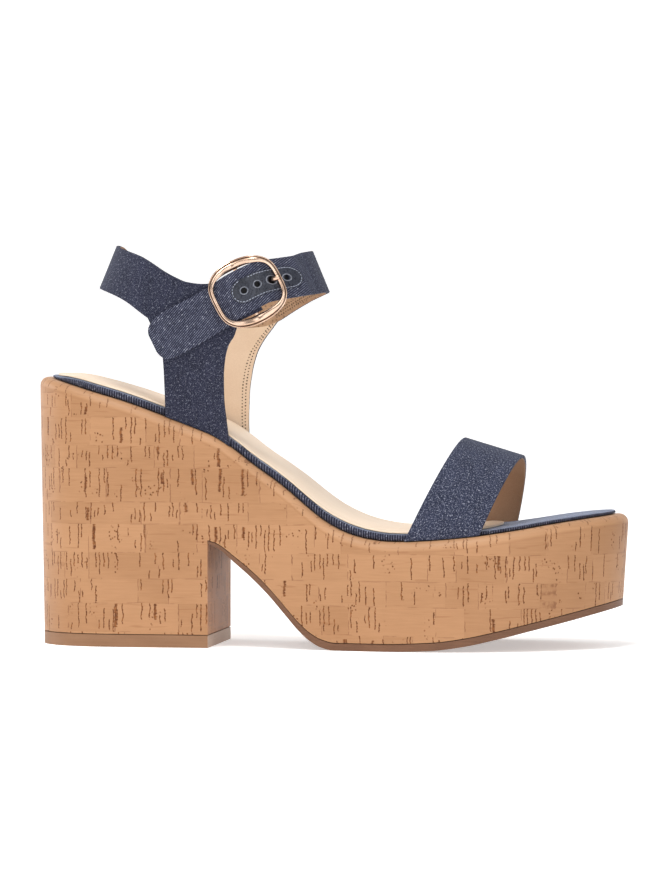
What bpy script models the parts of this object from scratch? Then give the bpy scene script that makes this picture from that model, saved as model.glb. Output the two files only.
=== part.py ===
"""Right-foot platform sandal with a cork-covered block heel and denim straps.

Units are metres. +X points to the toe, +Y to the inner side of the foot and +Z up.
The origin is on the floor, below the middle of the shoe's length and width.
"""
import math

import bmesh
import bpy
import numpy as np
from mathutils import Vector

# Overall sizes of the shoe
SHOE_LENGTH = 0.2388
BALL_WIDTH = 0.087
HEEL_WIDTH = 0.059

# Platform and heel
HEEL_HEIGHT = 0.1068
PLATFORM_HEIGHT = 0.0435
HEEL_LENGTH = 0.0733
BREAST_HEIGHT = 0.0432
TOE_SPRING_HEIGHT = 0.0172
CORK_EDGE_RADIUS = 0.0040
HEEL_TAPER_DEPTH = 0.0016
TOE_UNDERCUT_DEPTH = 0.0032
SIDE_TAPER_DEPTH = 0.0012

# Sole pieces
OUTSOLE_THICKNESS = 0.0030
TOP_LIFT_THICKNESS = 0.0050

# How far the blocks that the sole pieces are cut from go on below the floor
BLOCK_DEPTH = 0.005

# Footbed
INSOLE_MARGIN_WIDTH = 0.0052
INSOLE_THICKNESS = 0.0030
INSOLE_EDGE_RADIUS = 0.0014
SOCK_MARGIN_WIDTH = 0.0022
SOCK_THICKNESS = 0.0008
SOCK_FRONT_RADIUS = 0.075

# Straps
STRAP_THICKNESS = 0.0016
VAMP_STRAP_WIDTH = 0.030
VAMP_STRAP_HEIGHT = 0.0387
ANKLE_STRAP_WIDTH = 0.0178
ANKLE_STRAP_HEIGHT = 0.0734
ANKLE_LENGTH = 0.0837
ANKLE_WIDTH = 0.064
ANKLE_SLANT = 0.42
QUARTER_WIDTH = 0.0243

# Buckle
BUCKLE_LENGTH = 0.0248
BUCKLE_WIDTH = 0.0248
BUCKLE_OFFSET_HEIGHT = 0.0006
RAIL_RADIUS = 0.00125
END_BAR_RADIUS = 0.00085
CENTRE_BAR_RADIUS = 0.0009
PRONG_RADIUS = 0.00072
PRONG_RING_RADIUS = 0.0006
BUCKLE_PITCH = math.radians(26.0)
HOLE_SPACING = 0.0054
HOLE_RADIUS = 0.0012
PRONG_HOLE_RADIUS = 0.0016
HOLE_COUNT_BEHIND = 2
HOLE_COUNT_AHEAD = 1

# Gap between pieces that touch on the real shoe, and between the insole and the straps' feet
CLEARANCE = 0.0003
FOOT_CLEARANCE = 0.0004

# Superellipse exponents of the arched straps and the buckle's frame
ANKLE_ROUNDNESS = 2.4
VAMP_ROUNDNESS = 2.25
BUCKLE_END_SQUARENESS = 3.4
BUCKLE_RAIL_SQUARENESS = 2.2

# Half widths of the platform's top outline. Heel rows follow HEEL_WIDTH, ball rows BALL_WIDTH.
# Columns: place along the shoe, outer half width, inner half width
HEEL_OUTLINE = (
    (0.000, 0.000, 0.000),
    (0.018, 0.250, 0.250),
    (0.060, 0.408, 0.408),
    (0.120, 0.482, 0.480),
    (0.200, 0.500, 0.498),
    (0.290, 0.508, 0.486),
    (0.380, 0.532, 0.470),
)
BALL_OUTLINE = (
    (0.460, 0.398, 0.338),
    (0.540, 0.440, 0.385),
    (0.620, 0.480, 0.440),
    (0.695, 0.500, 0.485),
    (0.760, 0.488, 0.500),
    (0.830, 0.437, 0.488),
    (0.890, 0.357, 0.440),
    (0.940, 0.255, 0.360),
    (0.978, 0.130, 0.252),
    (1.000, -0.085, 0.085),
)

# Top of the platform. Columns: place along the shoe, share of the climb to the heel
HEEL_CLIMB = (
    (0.0000, 1.030),
    (0.0392, 1.000),
    (0.0965, 0.940),
    (0.1638, 0.866),
    (0.2302, 0.777),
    (0.2844, 0.701),
    (0.3141, 0.655),
    (0.3538, 0.557),
    (0.3809, 0.478),
    (0.4191, 0.380),
    (0.4482, 0.298),
    (0.4774, 0.206),
    (0.5065, 0.124),
    (0.5317, 0.072),
    (0.5568, 0.036),
    (0.5879, 0.011),
    (0.6201, 0.000),
    (1.0000, 0.000),
)

# Rise of the platform's top towards the toe. Columns: place along the shoe, share of TOE_SPRING_HEIGHT
TOE_CLIMB = (
    (0.0000, 0.000),
    (0.6332, 0.000),
    (0.6834, 0.035),
    (0.7387, 0.100),
    (0.7789, 0.165),
    (0.8342, 0.280),
    (0.8844, 0.400),
    (0.9397, 0.510),
    (1.0000, 0.600),
)

# Underside of the outsole. Columns: place along the shoe, share of BREAST_HEIGHT in the arch,
# share of TOE_SPRING_HEIGHT at the toe, share of OUTSOLE_THICKNESS
SOLE_PROFILE = (
    (0.3095, 0.972, 0.000, 0.35),
    (0.3256, 0.932, 0.000, 0.50),
    (0.3558, 0.794, 0.000, 0.73),
    (0.3849, 0.653, 0.000, 0.87),
    (0.4141, 0.493, 0.000, 0.95),
    (0.4412, 0.322, 0.000, 1.00),
    (0.4623, 0.190, 0.000, 1.03),
    (0.4814, 0.093, 0.000, 1.03),
    (0.5025, 0.028, 0.000, 1.00),
    (0.5266, 0.000, 0.000, 0.95),
    (0.6111, 0.000, 0.000, 0.95),
    (0.6905, 0.000, 0.035, 1.00),
    (0.7457, 0.000, 0.134, 1.00),
    (0.8000, 0.000, 0.297, 0.97),
    (0.8543, 0.000, 0.483, 0.94),
    (0.9085, 0.000, 0.669, 0.93),
    (0.9588, 0.000, 0.849, 0.90),
    (1.0251, 0.000, 1.080, 0.85),
)

# Thickness of the insole along the shoe. Columns: place along the shoe, share of INSOLE_THICKNESS
INSOLE_BUILD = (
    (0.00, 0.35),
    (0.03, 0.35),
    (0.06, 0.75),
    (0.09, 0.97),
    (0.12, 1.00),
    (0.42, 1.10),
    (0.52, 1.20),
    (0.60, 1.00),
    (0.70, 0.75),
    (0.80, 0.55),
    (1.00, 0.50),
)

# Height of the ankle band's middle at the back, where ANKLE_LENGTH is measured, as share of
# ANKLE_STRAP_HEIGHT
ANKLE_BACK_RISE = 0.879

# Middle line and width of the band round the ankle. The wrap angle is 0 at the front, 90 on
# the outer side, 180 at the back, and goes on past 360 for the strap that crosses the buckle.
# Columns: wrap of lower edge, wrap of upper edge, middle as share of ANKLE_STRAP_HEIGHT,
# upright width as share of ANKLE_STRAP_WIDTH
ANKLE_BAND = (
    (77.4, 81.5, 0.684, 1.067),
    (82.0, 85.5, 0.668, 1.062),
    (88.0, 90.0, 0.660, 1.084),
    (94.0, 95.0, 0.665, 1.124),
    (100.0, 100.0, 0.685, 1.152),
    (106.0, 106.0, 0.714, 1.165),
    (112.0, 112.0, 0.748, 1.150),
    (118.0, 118.0, 0.781, 1.108),
    (126.0, 126.0, 0.816, 1.045),
    (138.0, 138.0, 0.846, 0.990),
    (156.0, 156.0, 0.869, 0.966),
    (180.0, 180.0, ANKLE_BACK_RISE, 0.950),
    (204.0, 204.0, 0.844, 0.938),
    (222.0, 222.0, 0.815, 0.955),
    (234.0, 234.0, 0.777, 0.978),
    (242.0, 242.0, 0.742, 0.983),
    (248.0, 248.0, 0.716, 0.994),
    (254.0, 254.0, 0.694, 0.994),
    (260.0, 260.0, 0.680, 1.011),
    (266.0, 266.0, 0.671, 1.039),
    (272.0, 272.0, 0.671, 1.084),
    (278.0, 278.0, 0.679, 1.152),
    (285.0, 285.0, 0.694, 1.185),
    (291.0, 291.0, 0.718, 1.169),
    (298.0, 298.0, 0.749, 1.096),
    (308.0, 308.0, 0.784, 1.006),
    (320.0, 320.0, 0.815, 0.955),
    (338.0, 338.0, 0.841, 0.927),
    (360.0, 360.0, 0.854, 0.916),
    (379.0, 381.0, 0.847, 0.910),
)

# The band's rows between which each quarter hangs, and the two quarters' outlines.
# Columns: share of the drop to the platform, rear and front edges as shares of half QUARTER_WIDTH
OUTER_QUARTER_WRAPS = (77.4, 112.0)
INNER_QUARTER_WRAPS = (248.0, 291.0)
OUTER_QUARTER = (
    (0.07, 1.40, 1.38),
    (0.15, 1.26, 1.19),
    (0.26, 1.12, 1.07),
    (0.42, 1.01, 1.00),
    (0.60, 1.00, 0.99),
    (0.78, 1.00, 1.05),
    (1.00, 1.00, 1.15),
)
INNER_QUARTER = (
    (0.07, 1.40, 1.80),
    (0.15, 1.26, 1.56),
    (0.26, 1.12, 1.33),
    (0.42, 1.01, 1.18),
    (0.60, 1.00, 1.12),
    (0.78, 1.00, 1.12),
    (1.00, 1.00, 1.15),
)

# The strap through the buckle, seen square to the side. Columns: place along the strap as share
# of BUCKLE_LENGTH, lower and upper edges as shares of ANKLE_STRAP_WIDTH, and how far the strap is
# lifted: share of the lift over the centre bar, and share of one strap lying on the quarter
BUCKLED_STRAP = (
    (0.835, -0.615, 0.345, 0.02, 0.15),
    (0.582, -0.520, 0.455, 0.15, 0.40),
    (0.416, -0.455, 0.530, 0.36, 0.60),
    (0.212, -0.400, 0.575, 0.76, 0.80),
    (0.092, -0.405, 0.578, 0.95, 0.95),
    (0.000, -0.412, 0.573, 1.00, 1.00),
    (-0.092, -0.420, 0.566, 0.97, 1.00),
    (-0.194, -0.430, 0.555, 0.78, 1.00),
    (-0.369, -0.460, 0.520, 0.38, 1.00),
    (-0.554, -0.502, 0.480, 0.14, 1.00),
    (-0.905, -0.548, 0.457, 0.00, 1.00),
    (-1.265, -0.584, 0.444, 0.00, 1.00),
    (-1.468, -0.592, 0.405, 0.00, 1.00),
    (-1.607, -0.556, 0.320, 0.00, 1.00),
    (-1.686, -0.427, 0.208, 0.00, 1.00),
    (-1.710, -0.310, 0.112, 0.00, 1.00),
)

# Rounded tip of the strap through the buckle: places of its columns, as in BUCKLED_STRAP
STRAP_TIP_PLACES = (-1.376, -1.487, -1.607, -1.671, -1.710)

# Fold of the outer quarter's end round the centre bar. Columns: place along the strap as share of
# BUCKLE_LENGTH, and height as share of one strap below the quarter or of the fold's radius over it
FOLD_UNDER = (
    (-0.371, -1.00),
    (-0.283, -1.00),
    (-0.182, -1.02),
)
FOLD_OVER = (
    (-0.080, 0.93),
    (-0.169, 0.65),
    (-0.258, 0.28),
)
FOLD_TURN_STEPS = 5
FOLD_WIDTH = 0.98

# Way of the prong up through its hole. Columns: place from the hole's middle and height over the
# underside of the strap, both as shares of PRONG_HOLE_RADIUS
PRONG_RISE = (
    (-0.56, 0.12),
    (-0.12, 0.88),
    (0.06, 1.75),
)

# Places along the shoe
ANKLE_CENTRE = 0.2975
QUARTER_CENTRE = 0.2839
SOCK_FRONT = 0.7910
OUTER_VAMP_FOOT = 0.7077
INNER_VAMP_FOOT = 0.7337
VAMP_TOP = 0.7739

# Places of the buckle's middle, as shares of half ANKLE_LENGTH and of ANKLE_STRAP_HEIGHT
BUCKLE_AHEAD = 0.440
BUCKLE_UP = 0.740

# Place of the prong's hole ahead of the centre bar
PRONG_HOLE_DISTANCE = 0.0101

# Top of the vamp strap: its width as share of VAMP_STRAP_WIDTH, the height of its middle and its
# fall from rear to front as shares of VAMP_STRAP_HEIGHT
VAMP_TOP_WIDTH = 0.787
VAMP_TOP_MIDDLE = 0.868
VAMP_TOP_FALL = 0.184

# Height at which a quarter reaches the ankle's width, as share of ANKLE_STRAP_HEIGHT
QUARTER_EASE_END = 0.53

# How far on each side of the centre bar the frame dips to it, as share of BUCKLE_LENGTH
FRAME_DIP_SHARE = 0.35

# Mesh fineness
OUTLINE_STATIONS = 34
EDGE_ROUNDING_STEPS = 3
BAND_COLUMN_SPACING = 0.0042
BAND_ROWS = 4
QUARTER_ROWS = 11
VAMP_ARCH_STEPS = 32
VAMP_ROWS = 5
STRAP_COLUMNS = 21
FRAME_STEPS = 48
RING_STEPS = 24


def smooth_value(keys, values, at):
    """Monotone cubic interpolation of a table: smooth, with flat runs kept flat."""
    keys = np.asarray(keys, float)
    values = np.asarray(values, float)
    at = np.clip(np.asarray(at, float), keys[0], keys[-1])
    gaps = np.diff(keys)
    slopes = np.diff(values) / gaps
    tangents = np.zeros_like(values)
    tangents[0] = slopes[0]
    tangents[-1] = slopes[-1]
    for i in range(1, len(keys) - 1):
        if slopes[i - 1] * slopes[i] > 0.0:
            before = 2.0 * gaps[i] + gaps[i - 1]
            after = gaps[i] + 2.0 * gaps[i - 1]
            tangents[i] = (before + after) / (before / slopes[i - 1] + after / slopes[i])
    cell = np.clip(np.searchsorted(keys, at, side="right") - 1, 0, len(gaps) - 1)
    width = gaps[cell]
    t = (at - keys[cell]) / width
    return (
        (1 + 2 * t) * (1 - t) ** 2 * values[cell]
        + t * (1 - t) ** 2 * width * tangents[cell]
        + t * t * (3 - 2 * t) * values[cell + 1]
        + t * t * (t - 1) * width * tangents[cell + 1]
    )


def column(table, index):
    """One column of a table."""
    return [row[index] for row in table]


def along(share):
    """X of a place given as a share of the shoe's length from the heel's back."""
    return (share - 0.5) * SHOE_LENGTH


def share_along(x):
    """Place along the shoe of an X coordinate."""
    return x / SHOE_LENGTH + 0.5


def top_height(x):
    """Height of the platform's top, which is level from side to side."""
    place = share_along(x)
    climb = smooth_value(column(HEEL_CLIMB, 0), column(HEEL_CLIMB, 1), place)
    toe = smooth_value(column(TOE_CLIMB, 0), column(TOE_CLIMB, 1), place)
    return PLATFORM_HEIGHT + (HEEL_HEIGHT - PLATFORM_HEIGHT) * climb + TOE_SPRING_HEIGHT * toe


def half_width(place, side):
    """Half width of the platform's top outline, with side 1 outer and 2 inner."""
    places = column(HEEL_OUTLINE, 0) + column(BALL_OUTLINE, 0)
    widths = [share * HEEL_WIDTH for share in column(HEEL_OUTLINE, side)]
    widths += [share * BALL_WIDTH for share in column(BALL_OUTLINE, side)]
    return smooth_value(station_angle(places), widths, station_angle(place))


def station_angle(place):
    """Angle that spreads stations evenly round the ends of the outline."""
    return np.arccos(1.0 - 2.0 * np.clip(np.asarray(place, float), 0.0, 1.0))


def outline(inset=0.0):
    """Closed plan outline, from the heel's back up the inner side and down the outer side."""
    angles = np.linspace(0.0, math.pi, OUTLINE_STATIONS + 1)
    places = (1.0 - np.cos(angles)) / 2.0
    inner = np.column_stack((along(places), half_width(places, 2)))
    outer = np.column_stack((along(places), -half_width(places, 1)))
    ring = np.vstack((inner, outer[-2:0:-1]))
    tangent = np.roll(ring, -1, axis=0) - np.roll(ring, 1, axis=0)
    normal = np.column_stack((tangent[:, 1], -tangent[:, 0]))
    normal /= np.linalg.norm(normal, axis=1)[:, None]
    return ring + normal * inset


def edge_half_width(x, side, inset):
    """Half width of an inset outline at X, with side 1 outer and 2 inner."""
    ring = outline(inset)
    edge = ring[:OUTLINE_STATIONS + 1]
    if side == 1:
        edge = np.vstack((ring[:1], ring[:OUTLINE_STATIONS - 1:-1]))
    return float(np.interp(x, edge[:, 0], np.abs(edge[:, 1])))


def new_material(name, colour, roughness, metallic=0.0):
    """Principled material of one piece."""
    material = bpy.data.materials.new(name)
    material.use_nodes = True
    shader = material.node_tree.nodes["Principled BSDF"]
    shader.inputs["Base Color"].default_value = (*colour, 1.0)
    shader.inputs["Roughness"].default_value = roughness
    shader.inputs["Metallic"].default_value = metallic
    return material


def new_collection(name):
    """Collection linked to the scene."""
    collection = bpy.data.collections.new(name)
    bpy.context.scene.collection.children.link(collection)
    return collection


def object_from_bmesh(shape, name, collection):
    """Object that takes a bmesh's faces, turned outwards."""
    bmesh.ops.recalc_face_normals(shape, faces=shape.faces)
    mesh = bpy.data.meshes.new(name)
    shape.to_mesh(mesh)
    shape.free()
    piece = bpy.data.objects.new(name, mesh)
    collection.objects.link(piece)
    return piece


def as_cutter(piece):
    """Marks an object as a tool that isn't part of the shoe."""
    piece.hide_render = True
    piece.display_type = "WIRE"
    return piece


def add_boolean(piece, tool, operation):
    """Exact Boolean modifier."""
    modifier = piece.modifiers.new(operation.title(), "BOOLEAN")
    modifier.operation = operation
    modifier.solver = "EXACT"
    modifier.object = tool


def finish(piece, material, sharp_angle=40.0):
    """Gives a piece its material and smooth shading between sharp edges."""
    piece.data.materials.clear()
    piece.data.materials.append(material)
    piece.data.shade_smooth()
    piece.data.set_sharp_from_angle(angle=math.radians(sharp_angle))


def add_ring(shape, points):
    """Vertices of one ring."""
    return [shape.verts.new(tuple(point)) for point in points]


def bridge_rings(shape, lower, upper):
    """Quads between two rings with as many vertices."""
    count = len(lower)
    for i in range(count):
        j = (i + 1) % count
        shape.faces.new((lower[i], lower[j], upper[j], upper[i]))


def close_ring(shape, ring):
    """Strips from side to side across a ring of the plan outline."""
    count = len(ring)
    half = count // 2
    shape.faces.new((ring[0], ring[1], ring[-1]))
    for i in range(1, half - 1):
        shape.faces.new((ring[i], ring[i + 1], ring[count - i - 1], ring[count - i]))
    shape.faces.new((ring[half - 1], ring[half], ring[half + 1]))


def raised_ring(inset, height):
    """Ring of the outline at a height over the platform's top."""
    ring = outline(inset)
    return np.column_stack((ring, top_height(ring[:, 0]) + height))


def rounded_steps(radius):
    """Inset and drop of each ring of an edge rounding, from the wall to the top."""
    steps = []
    for i in range(EDGE_ROUNDING_STEPS + 1):
        turn = math.pi / 2 * i / EDGE_ROUNDING_STEPS
        steps.append((radius * (1 - math.cos(turn)), radius * (1 - math.sin(turn))))
    return steps


def stack_of_rings(rings, name, collection):
    """Closed solid through a stack of plan rings."""
    shape = bmesh.new()
    rows = [add_ring(shape, ring) for ring in rings]
    for lower, upper in zip(rows, rows[1:]):
        bridge_rings(shape, lower, upper)
    close_ring(shape, rows[0])
    close_ring(shape, rows[-1])
    return object_from_bmesh(shape, name, collection)


def shoe_block(name, collection):
    """Solid with the platform's outside and top, running on down below the floor."""
    ring = outline()
    low = ring.copy()
    length_share = share_along(ring[:, 0])
    reach = (HEEL_HEIGHT + BLOCK_DEPTH) / HEEL_HEIGHT
    toe_reach = (PLATFORM_HEIGHT + BLOCK_DEPTH) / PLATFORM_HEIGHT
    low[:, 0] += HEEL_TAPER_DEPTH * reach * (1 - length_share)
    low[:, 0] -= TOE_UNDERCUT_DEPTH * toe_reach * length_share
    low[:, 1] *= 1 - 2 * SIDE_TAPER_DEPTH / BALL_WIDTH
    rings = [np.column_stack((low, np.full(len(low), -BLOCK_DEPTH)))]
    for inset, drop in rounded_steps(CORK_EDGE_RADIUS):
        rings.append(raised_ring(inset, -drop))
    return stack_of_rings(rings, name, collection)


def sole_curves():
    """Underside and upper side of the outsole in side view, from the breast to the toe."""
    places = np.linspace(SOLE_PROFILE[0][0], SOLE_PROFILE[-1][0], 41)
    keys = column(SOLE_PROFILE, 0)
    arch = smooth_value(keys, column(SOLE_PROFILE, 1), places) * BREAST_HEIGHT
    toe = smooth_value(keys, column(SOLE_PROFILE, 2), places) * TOE_SPRING_HEIGHT
    thickness = smooth_value(keys, column(SOLE_PROFILE, 3), places) * OUTSOLE_THICKNESS
    x = along(places)
    x += (breast_x() - x[0]) * np.clip((along(0.5) - x) / (along(0.5) - x[0]), 0.0, 1.0)
    low = np.column_stack((x, arch + toe))
    high = np.column_stack((x, arch + toe + thickness))
    return low, high


def breast_x():
    """X of the heel's front face."""
    return -SHOE_LENGTH / 2 + HEEL_LENGTH


def side_prism(points, name, collection):
    """Closed prism across the shoe with an outline given in side view."""
    reach = BALL_WIDTH
    shape = bmesh.new()
    near = [shape.verts.new((x, -reach, z)) for x, z in points]
    far = [shape.verts.new((x, reach, z)) for x, z in points]
    shape.faces.new(near)
    shape.faces.new(far)
    bridge_rings(shape, near, far)
    return as_cutter(object_from_bmesh(shape, name, collection))


def build_platform(parts, cutters):
    """Cork-covered platform and block heel, open under the arch."""
    platform = shoe_block("platform", parts)
    low, high = sole_curves()
    far_out = SHOE_LENGTH
    below = -2 * BLOCK_DEPTH
    lift_top = TOP_LIFT_THICKNESS + CLEARANCE
    profile = [(-far_out, below), (-far_out, lift_top), (breast_x(), lift_top)]
    profile += [(x, z + CLEARANCE) for x, z in high]
    profile += [(far_out, high[-1][1] + CLEARANCE), (far_out, below)]
    add_boolean(platform, side_prism(profile, "cut_below_platform", cutters), "DIFFERENCE")
    finish(platform, new_material("cork_cover", (0.58, 0.36, 0.20), 0.6))


def build_outsole(parts, cutters):
    """Thin outsole under the platform, from the breast round the arch to the toe."""
    outsole = shoe_block("outsole", parts)
    low, high = sole_curves()
    low[0][0] += CLEARANCE
    high[0][0] += CLEARANCE
    profile = [tuple(point) for point in low] + [tuple(point) for point in high[::-1]]
    add_boolean(outsole, side_prism(profile, "strip_of_outsole", cutters), "INTERSECT")
    finish(outsole, new_material("outsole_leather", (0.24, 0.12, 0.075), 0.55))


def build_top_lift(parts, cutters):
    """Flat lift under the heel."""
    lift = shoe_block("heel_top_lift", parts)
    back = -SHOE_LENGTH
    profile = [
        (back, 0.0),
        (breast_x(), 0.0),
        (breast_x(), TOP_LIFT_THICKNESS),
        (back, TOP_LIFT_THICKNESS),
    ]
    add_boolean(lift, side_prism(profile, "slab_of_top_lift", cutters), "INTERSECT")
    finish(lift, new_material("top_lift_rubber", (0.30, 0.17, 0.10), 0.6))


def insole_height(x):
    """Thickness of the insole at X."""
    return INSOLE_THICKNESS * smooth_value(
        column(INSOLE_BUILD, 0), column(INSOLE_BUILD, 1), share_along(x)
    )


def insole_ring(inset, share, above=0.0):
    """Ring at a share of the insole's thickness, raised by a further height."""
    ring = raised_ring(inset, CLEARANCE + above)
    ring[:, 2] += insole_height(ring[:, 0]) * share
    return ring


def build_insole(parts):
    """Denim-wrapped insole with a rounded edge."""
    lower_edge = INSOLE_EDGE_RADIUS / 2
    rings = [
        insole_ring(INSOLE_MARGIN_WIDTH + lower_edge, 0.0),
        insole_ring(INSOLE_MARGIN_WIDTH, lower_edge / INSOLE_THICKNESS),
    ]
    for inset, drop in rounded_steps(INSOLE_EDGE_RADIUS):
        rings.append(insole_ring(INSOLE_MARGIN_WIDTH + inset, 1.0 - drop / INSOLE_THICKNESS))
    insole = stack_of_rings(rings, "insole", parts)
    finish(insole, new_material("insole_denim", (0.035, 0.045, 0.09), 0.85))


def build_sock_lining(parts, cutters):
    """Leather sock lining that ends in a rounded front under the vamp strap."""
    inset = INSOLE_MARGIN_WIDTH + SOCK_MARGIN_WIDTH
    rings = [insole_ring(inset, 1.0, CLEARANCE), insole_ring(inset, 1.0, CLEARANCE + SOCK_THICKNESS)]
    sock = stack_of_rings(rings, "sock_lining", parts)
    front = along(SOCK_FRONT)
    reach = BALL_WIDTH
    sides = np.linspace(-reach, reach, 33)
    edge = [(front - y * y / (2 * SOCK_FRONT_RADIUS), y) for y in sides]
    points = edge + [(SHOE_LENGTH, reach), (SHOE_LENGTH, -reach)]
    shape = bmesh.new()
    low = [shape.verts.new((x, y, 0.0)) for x, y in points]
    high = [shape.verts.new((x, y, HEEL_HEIGHT)) for x, y in points]
    shape.faces.new(low)
    shape.faces.new(high)
    bridge_rings(shape, low, high)
    cutter = as_cutter(object_from_bmesh(shape, "cut_sock_front", cutters))
    add_boolean(sock, cutter, "DIFFERENCE")
    finish(sock, new_material("sock_leather", (0.72, 0.52, 0.36), 0.6))


def add_wall(piece):
    """Gives an open strap surface its leather and denim thickness, half to each side."""
    wall = piece.modifiers.new("Wall", "SOLIDIFY")
    wall.thickness = STRAP_THICKNESS
    wall.offset = 0.0
    wall.use_even_offset = True


def strap_foot(x, side):
    """Distance from the shoe's middle to the middle of a strap's wall at the insole's edge."""
    return edge_half_width(x, side, INSOLE_MARGIN_WIDTH - FOOT_CLEARANCE - STRAP_THICKNESS / 2)


def build_vamp_strap(parts):
    """Broad strap over the toes, leaning forward, lasted down outside the insole."""
    shape = bmesh.new()
    rows = []
    for r in range(VAMP_ROWS + 1):
        ahead = r / VAMP_ROWS - 0.5
        feet = (along(OUTER_VAMP_FOOT), along(INNER_VAMP_FOOT))
        feet = [x + ahead * VAMP_STRAP_WIDTH for x in feet]
        top_x = along(VAMP_TOP) + ahead * VAMP_STRAP_WIDTH * VAMP_TOP_WIDTH
        rise = VAMP_STRAP_HEIGHT * (VAMP_TOP_MIDDLE - VAMP_TOP_FALL * ahead)
        top_z = float(top_height(along(VAMP_TOP))) + rise
        row = []
        for i in range(VAMP_ARCH_STEPS + 1):
            turn = math.pi * i / VAMP_ARCH_STEPS
            side = 1 if turn < math.pi / 2 else 2
            foot_x = feet[side - 1]
            foot_z = float(top_height(foot_x)) + CLEARANCE
            out = abs(math.cos(turn)) ** (2 / VAMP_ROUNDNESS)
            up = abs(math.sin(turn)) ** (2 / VAMP_ROUNDNESS)
            x = foot_x + (top_x - foot_x) * up
            y = strap_foot(x, side) * out
            z = foot_z + (top_z - foot_z) * up
            row.append(shape.verts.new((x, -y if side == 1 else y, z)))
        rows.append(row)
    for rear, front in zip(rows, rows[1:]):
        for i in range(VAMP_ARCH_STEPS):
            shape.faces.new((rear[i], rear[i + 1], front[i + 1], front[i]))
    strap = object_from_bmesh(shape, "vamp_strap", parts)
    add_wall(strap)
    finish(strap, new_material("vamp_denim", (0.045, 0.055, 0.10), 0.85), 60.0)


def ankle_base():
    """Height from which the ankle band's heights are measured."""
    return float(top_height(along(QUARTER_CENTRE)))


def ankle_half_length(z):
    """Half length of the ankle loop at a height: it leans in towards its top."""
    middle = ankle_base() + ANKLE_BACK_RISE * ANKLE_STRAP_HEIGHT
    return ANKLE_LENGTH / 2 + ANKLE_SLANT * (middle - z)


def ankle_point(wrap, z, lift=0.0):
    """Point on the ankle loop's middle surface, moved outwards by lift."""

    def surface(angle, height):
        c = math.cos(math.radians(angle))
        s = math.sin(math.radians(angle))
        power = 2 / ANKLE_ROUNDNESS
        x = along(ANKLE_CENTRE) + ankle_half_length(height) * math.copysign(abs(c) ** power, c)
        y = -ANKLE_WIDTH / 2 * math.copysign(abs(s) ** power, s)
        return Vector((x, y, height))

    step = 0.5
    rise = 0.0005
    across = surface(wrap + step, z) - surface(wrap - step, z)
    upward = surface(wrap, z + rise) - surface(wrap, z - rise)
    normal = upward.cross(across).normalized()
    return surface(wrap, z) + normal * lift


def wrap_of(x, z):
    """Wrap angle, on the outer side, of a point seen square to the side."""
    share = (x - along(ANKLE_CENTRE)) / ankle_half_length(z)
    share = max(-1.0, min(1.0, share))
    return math.degrees(math.acos(math.copysign(abs(share) ** (ANKLE_ROUNDNESS / 2), share)))


def beside_buckle(ahead, up, lift=0.0):
    """Point on the outer side at a place along and across the strap from the buckle's middle."""
    x = along(ANKLE_CENTRE) + BUCKLE_AHEAD * ANKLE_LENGTH / 2
    z = ankle_base() + BUCKLE_UP * ANKLE_STRAP_HEIGHT
    x += ahead * math.cos(BUCKLE_PITCH) - up * math.sin(BUCKLE_PITCH)
    z += ahead * math.sin(BUCKLE_PITCH) + up * math.cos(BUCKLE_PITCH)
    return ankle_point(wrap_of(x, z), z, lift)


def fold_radius():
    """Distance from the centre bar's axis to the middle of the fold's wall round it."""
    return CENTRE_BAR_RADIUS + CLEARANCE + STRAP_THICKNESS / 2


def layer_step():
    """Distance between the middles of two strap layers that lie on each other."""
    return STRAP_THICKNESS + CLEARANCE


def fold_path():
    """Path of the quarter's end round the centre bar: place along the strap and lift."""
    radius = fold_radius()
    path = [(place * BUCKLE_LENGTH, share * layer_step()) for place, share in FOLD_UNDER]
    path.append((FOLD_OVER[0][0] * BUCKLE_LENGTH, -radius))
    for i in range(FOLD_TURN_STEPS + 1):
        turn = math.pi * (i / FOLD_TURN_STEPS - 0.5)
        path.append((radius * math.cos(turn), radius * math.sin(turn)))
    path += [(place * BUCKLE_LENGTH, share * radius) for place, share in FOLD_OVER]
    return path


def fold_columns():
    """Columns of the fold, each a list of points from its lower to its upper edge."""
    half = ANKLE_STRAP_WIDTH * FOLD_WIDTH / 2
    columns = []
    for ahead, lift in fold_path():
        points = []
        for r in range(BAND_ROWS + 1):
            points.append(beside_buckle(ahead, half * (2 * r / BAND_ROWS - 1), lift))
        columns.append(points)
    return columns


def band_columns():
    """Columns of the band from the outer quarter round the back and the front of the ankle."""
    rows = np.arange(len(ANKLE_BAND))
    fine = np.linspace(0.0, rows[-1], 16 * rows[-1] + 1)
    values = [smooth_value(rows, column(ANKLE_BAND, k), fine) for k in range(4)]
    middles = []
    for wrap_low, wrap_high, middle, _ in zip(*values):
        height = ankle_base() + middle * ANKLE_STRAP_HEIGHT
        middles.append(ankle_point((wrap_low + wrap_high) / 2, height))
    steps = [(b - a).length for a, b in zip(middles, middles[1:])]
    travelled = np.concatenate(([0.0], np.cumsum(steps)))
    count = int(round(travelled[-1] / BAND_COLUMN_SPACING))
    at = np.interp(np.linspace(0.0, travelled[-1], count + 1), travelled, fine)
    columns = []
    wraps = []
    for place in at:
        low_wrap, high_wrap, middle, width = [
            float(smooth_value(rows, column(ANKLE_BAND, k), place)) for k in range(4)
        ]
        height = ankle_base() + middle * ANKLE_STRAP_HEIGHT
        half = width * ANKLE_STRAP_WIDTH / 2
        points = []
        for r in range(BAND_ROWS + 1):
            share = r / BAND_ROWS
            wrap = low_wrap + (high_wrap - low_wrap) * share
            points.append(ankle_point(wrap, height + half * (2 * share - 1)))
        columns.append(points)
        wraps.append(low_wrap)
    return columns, wraps


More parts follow.
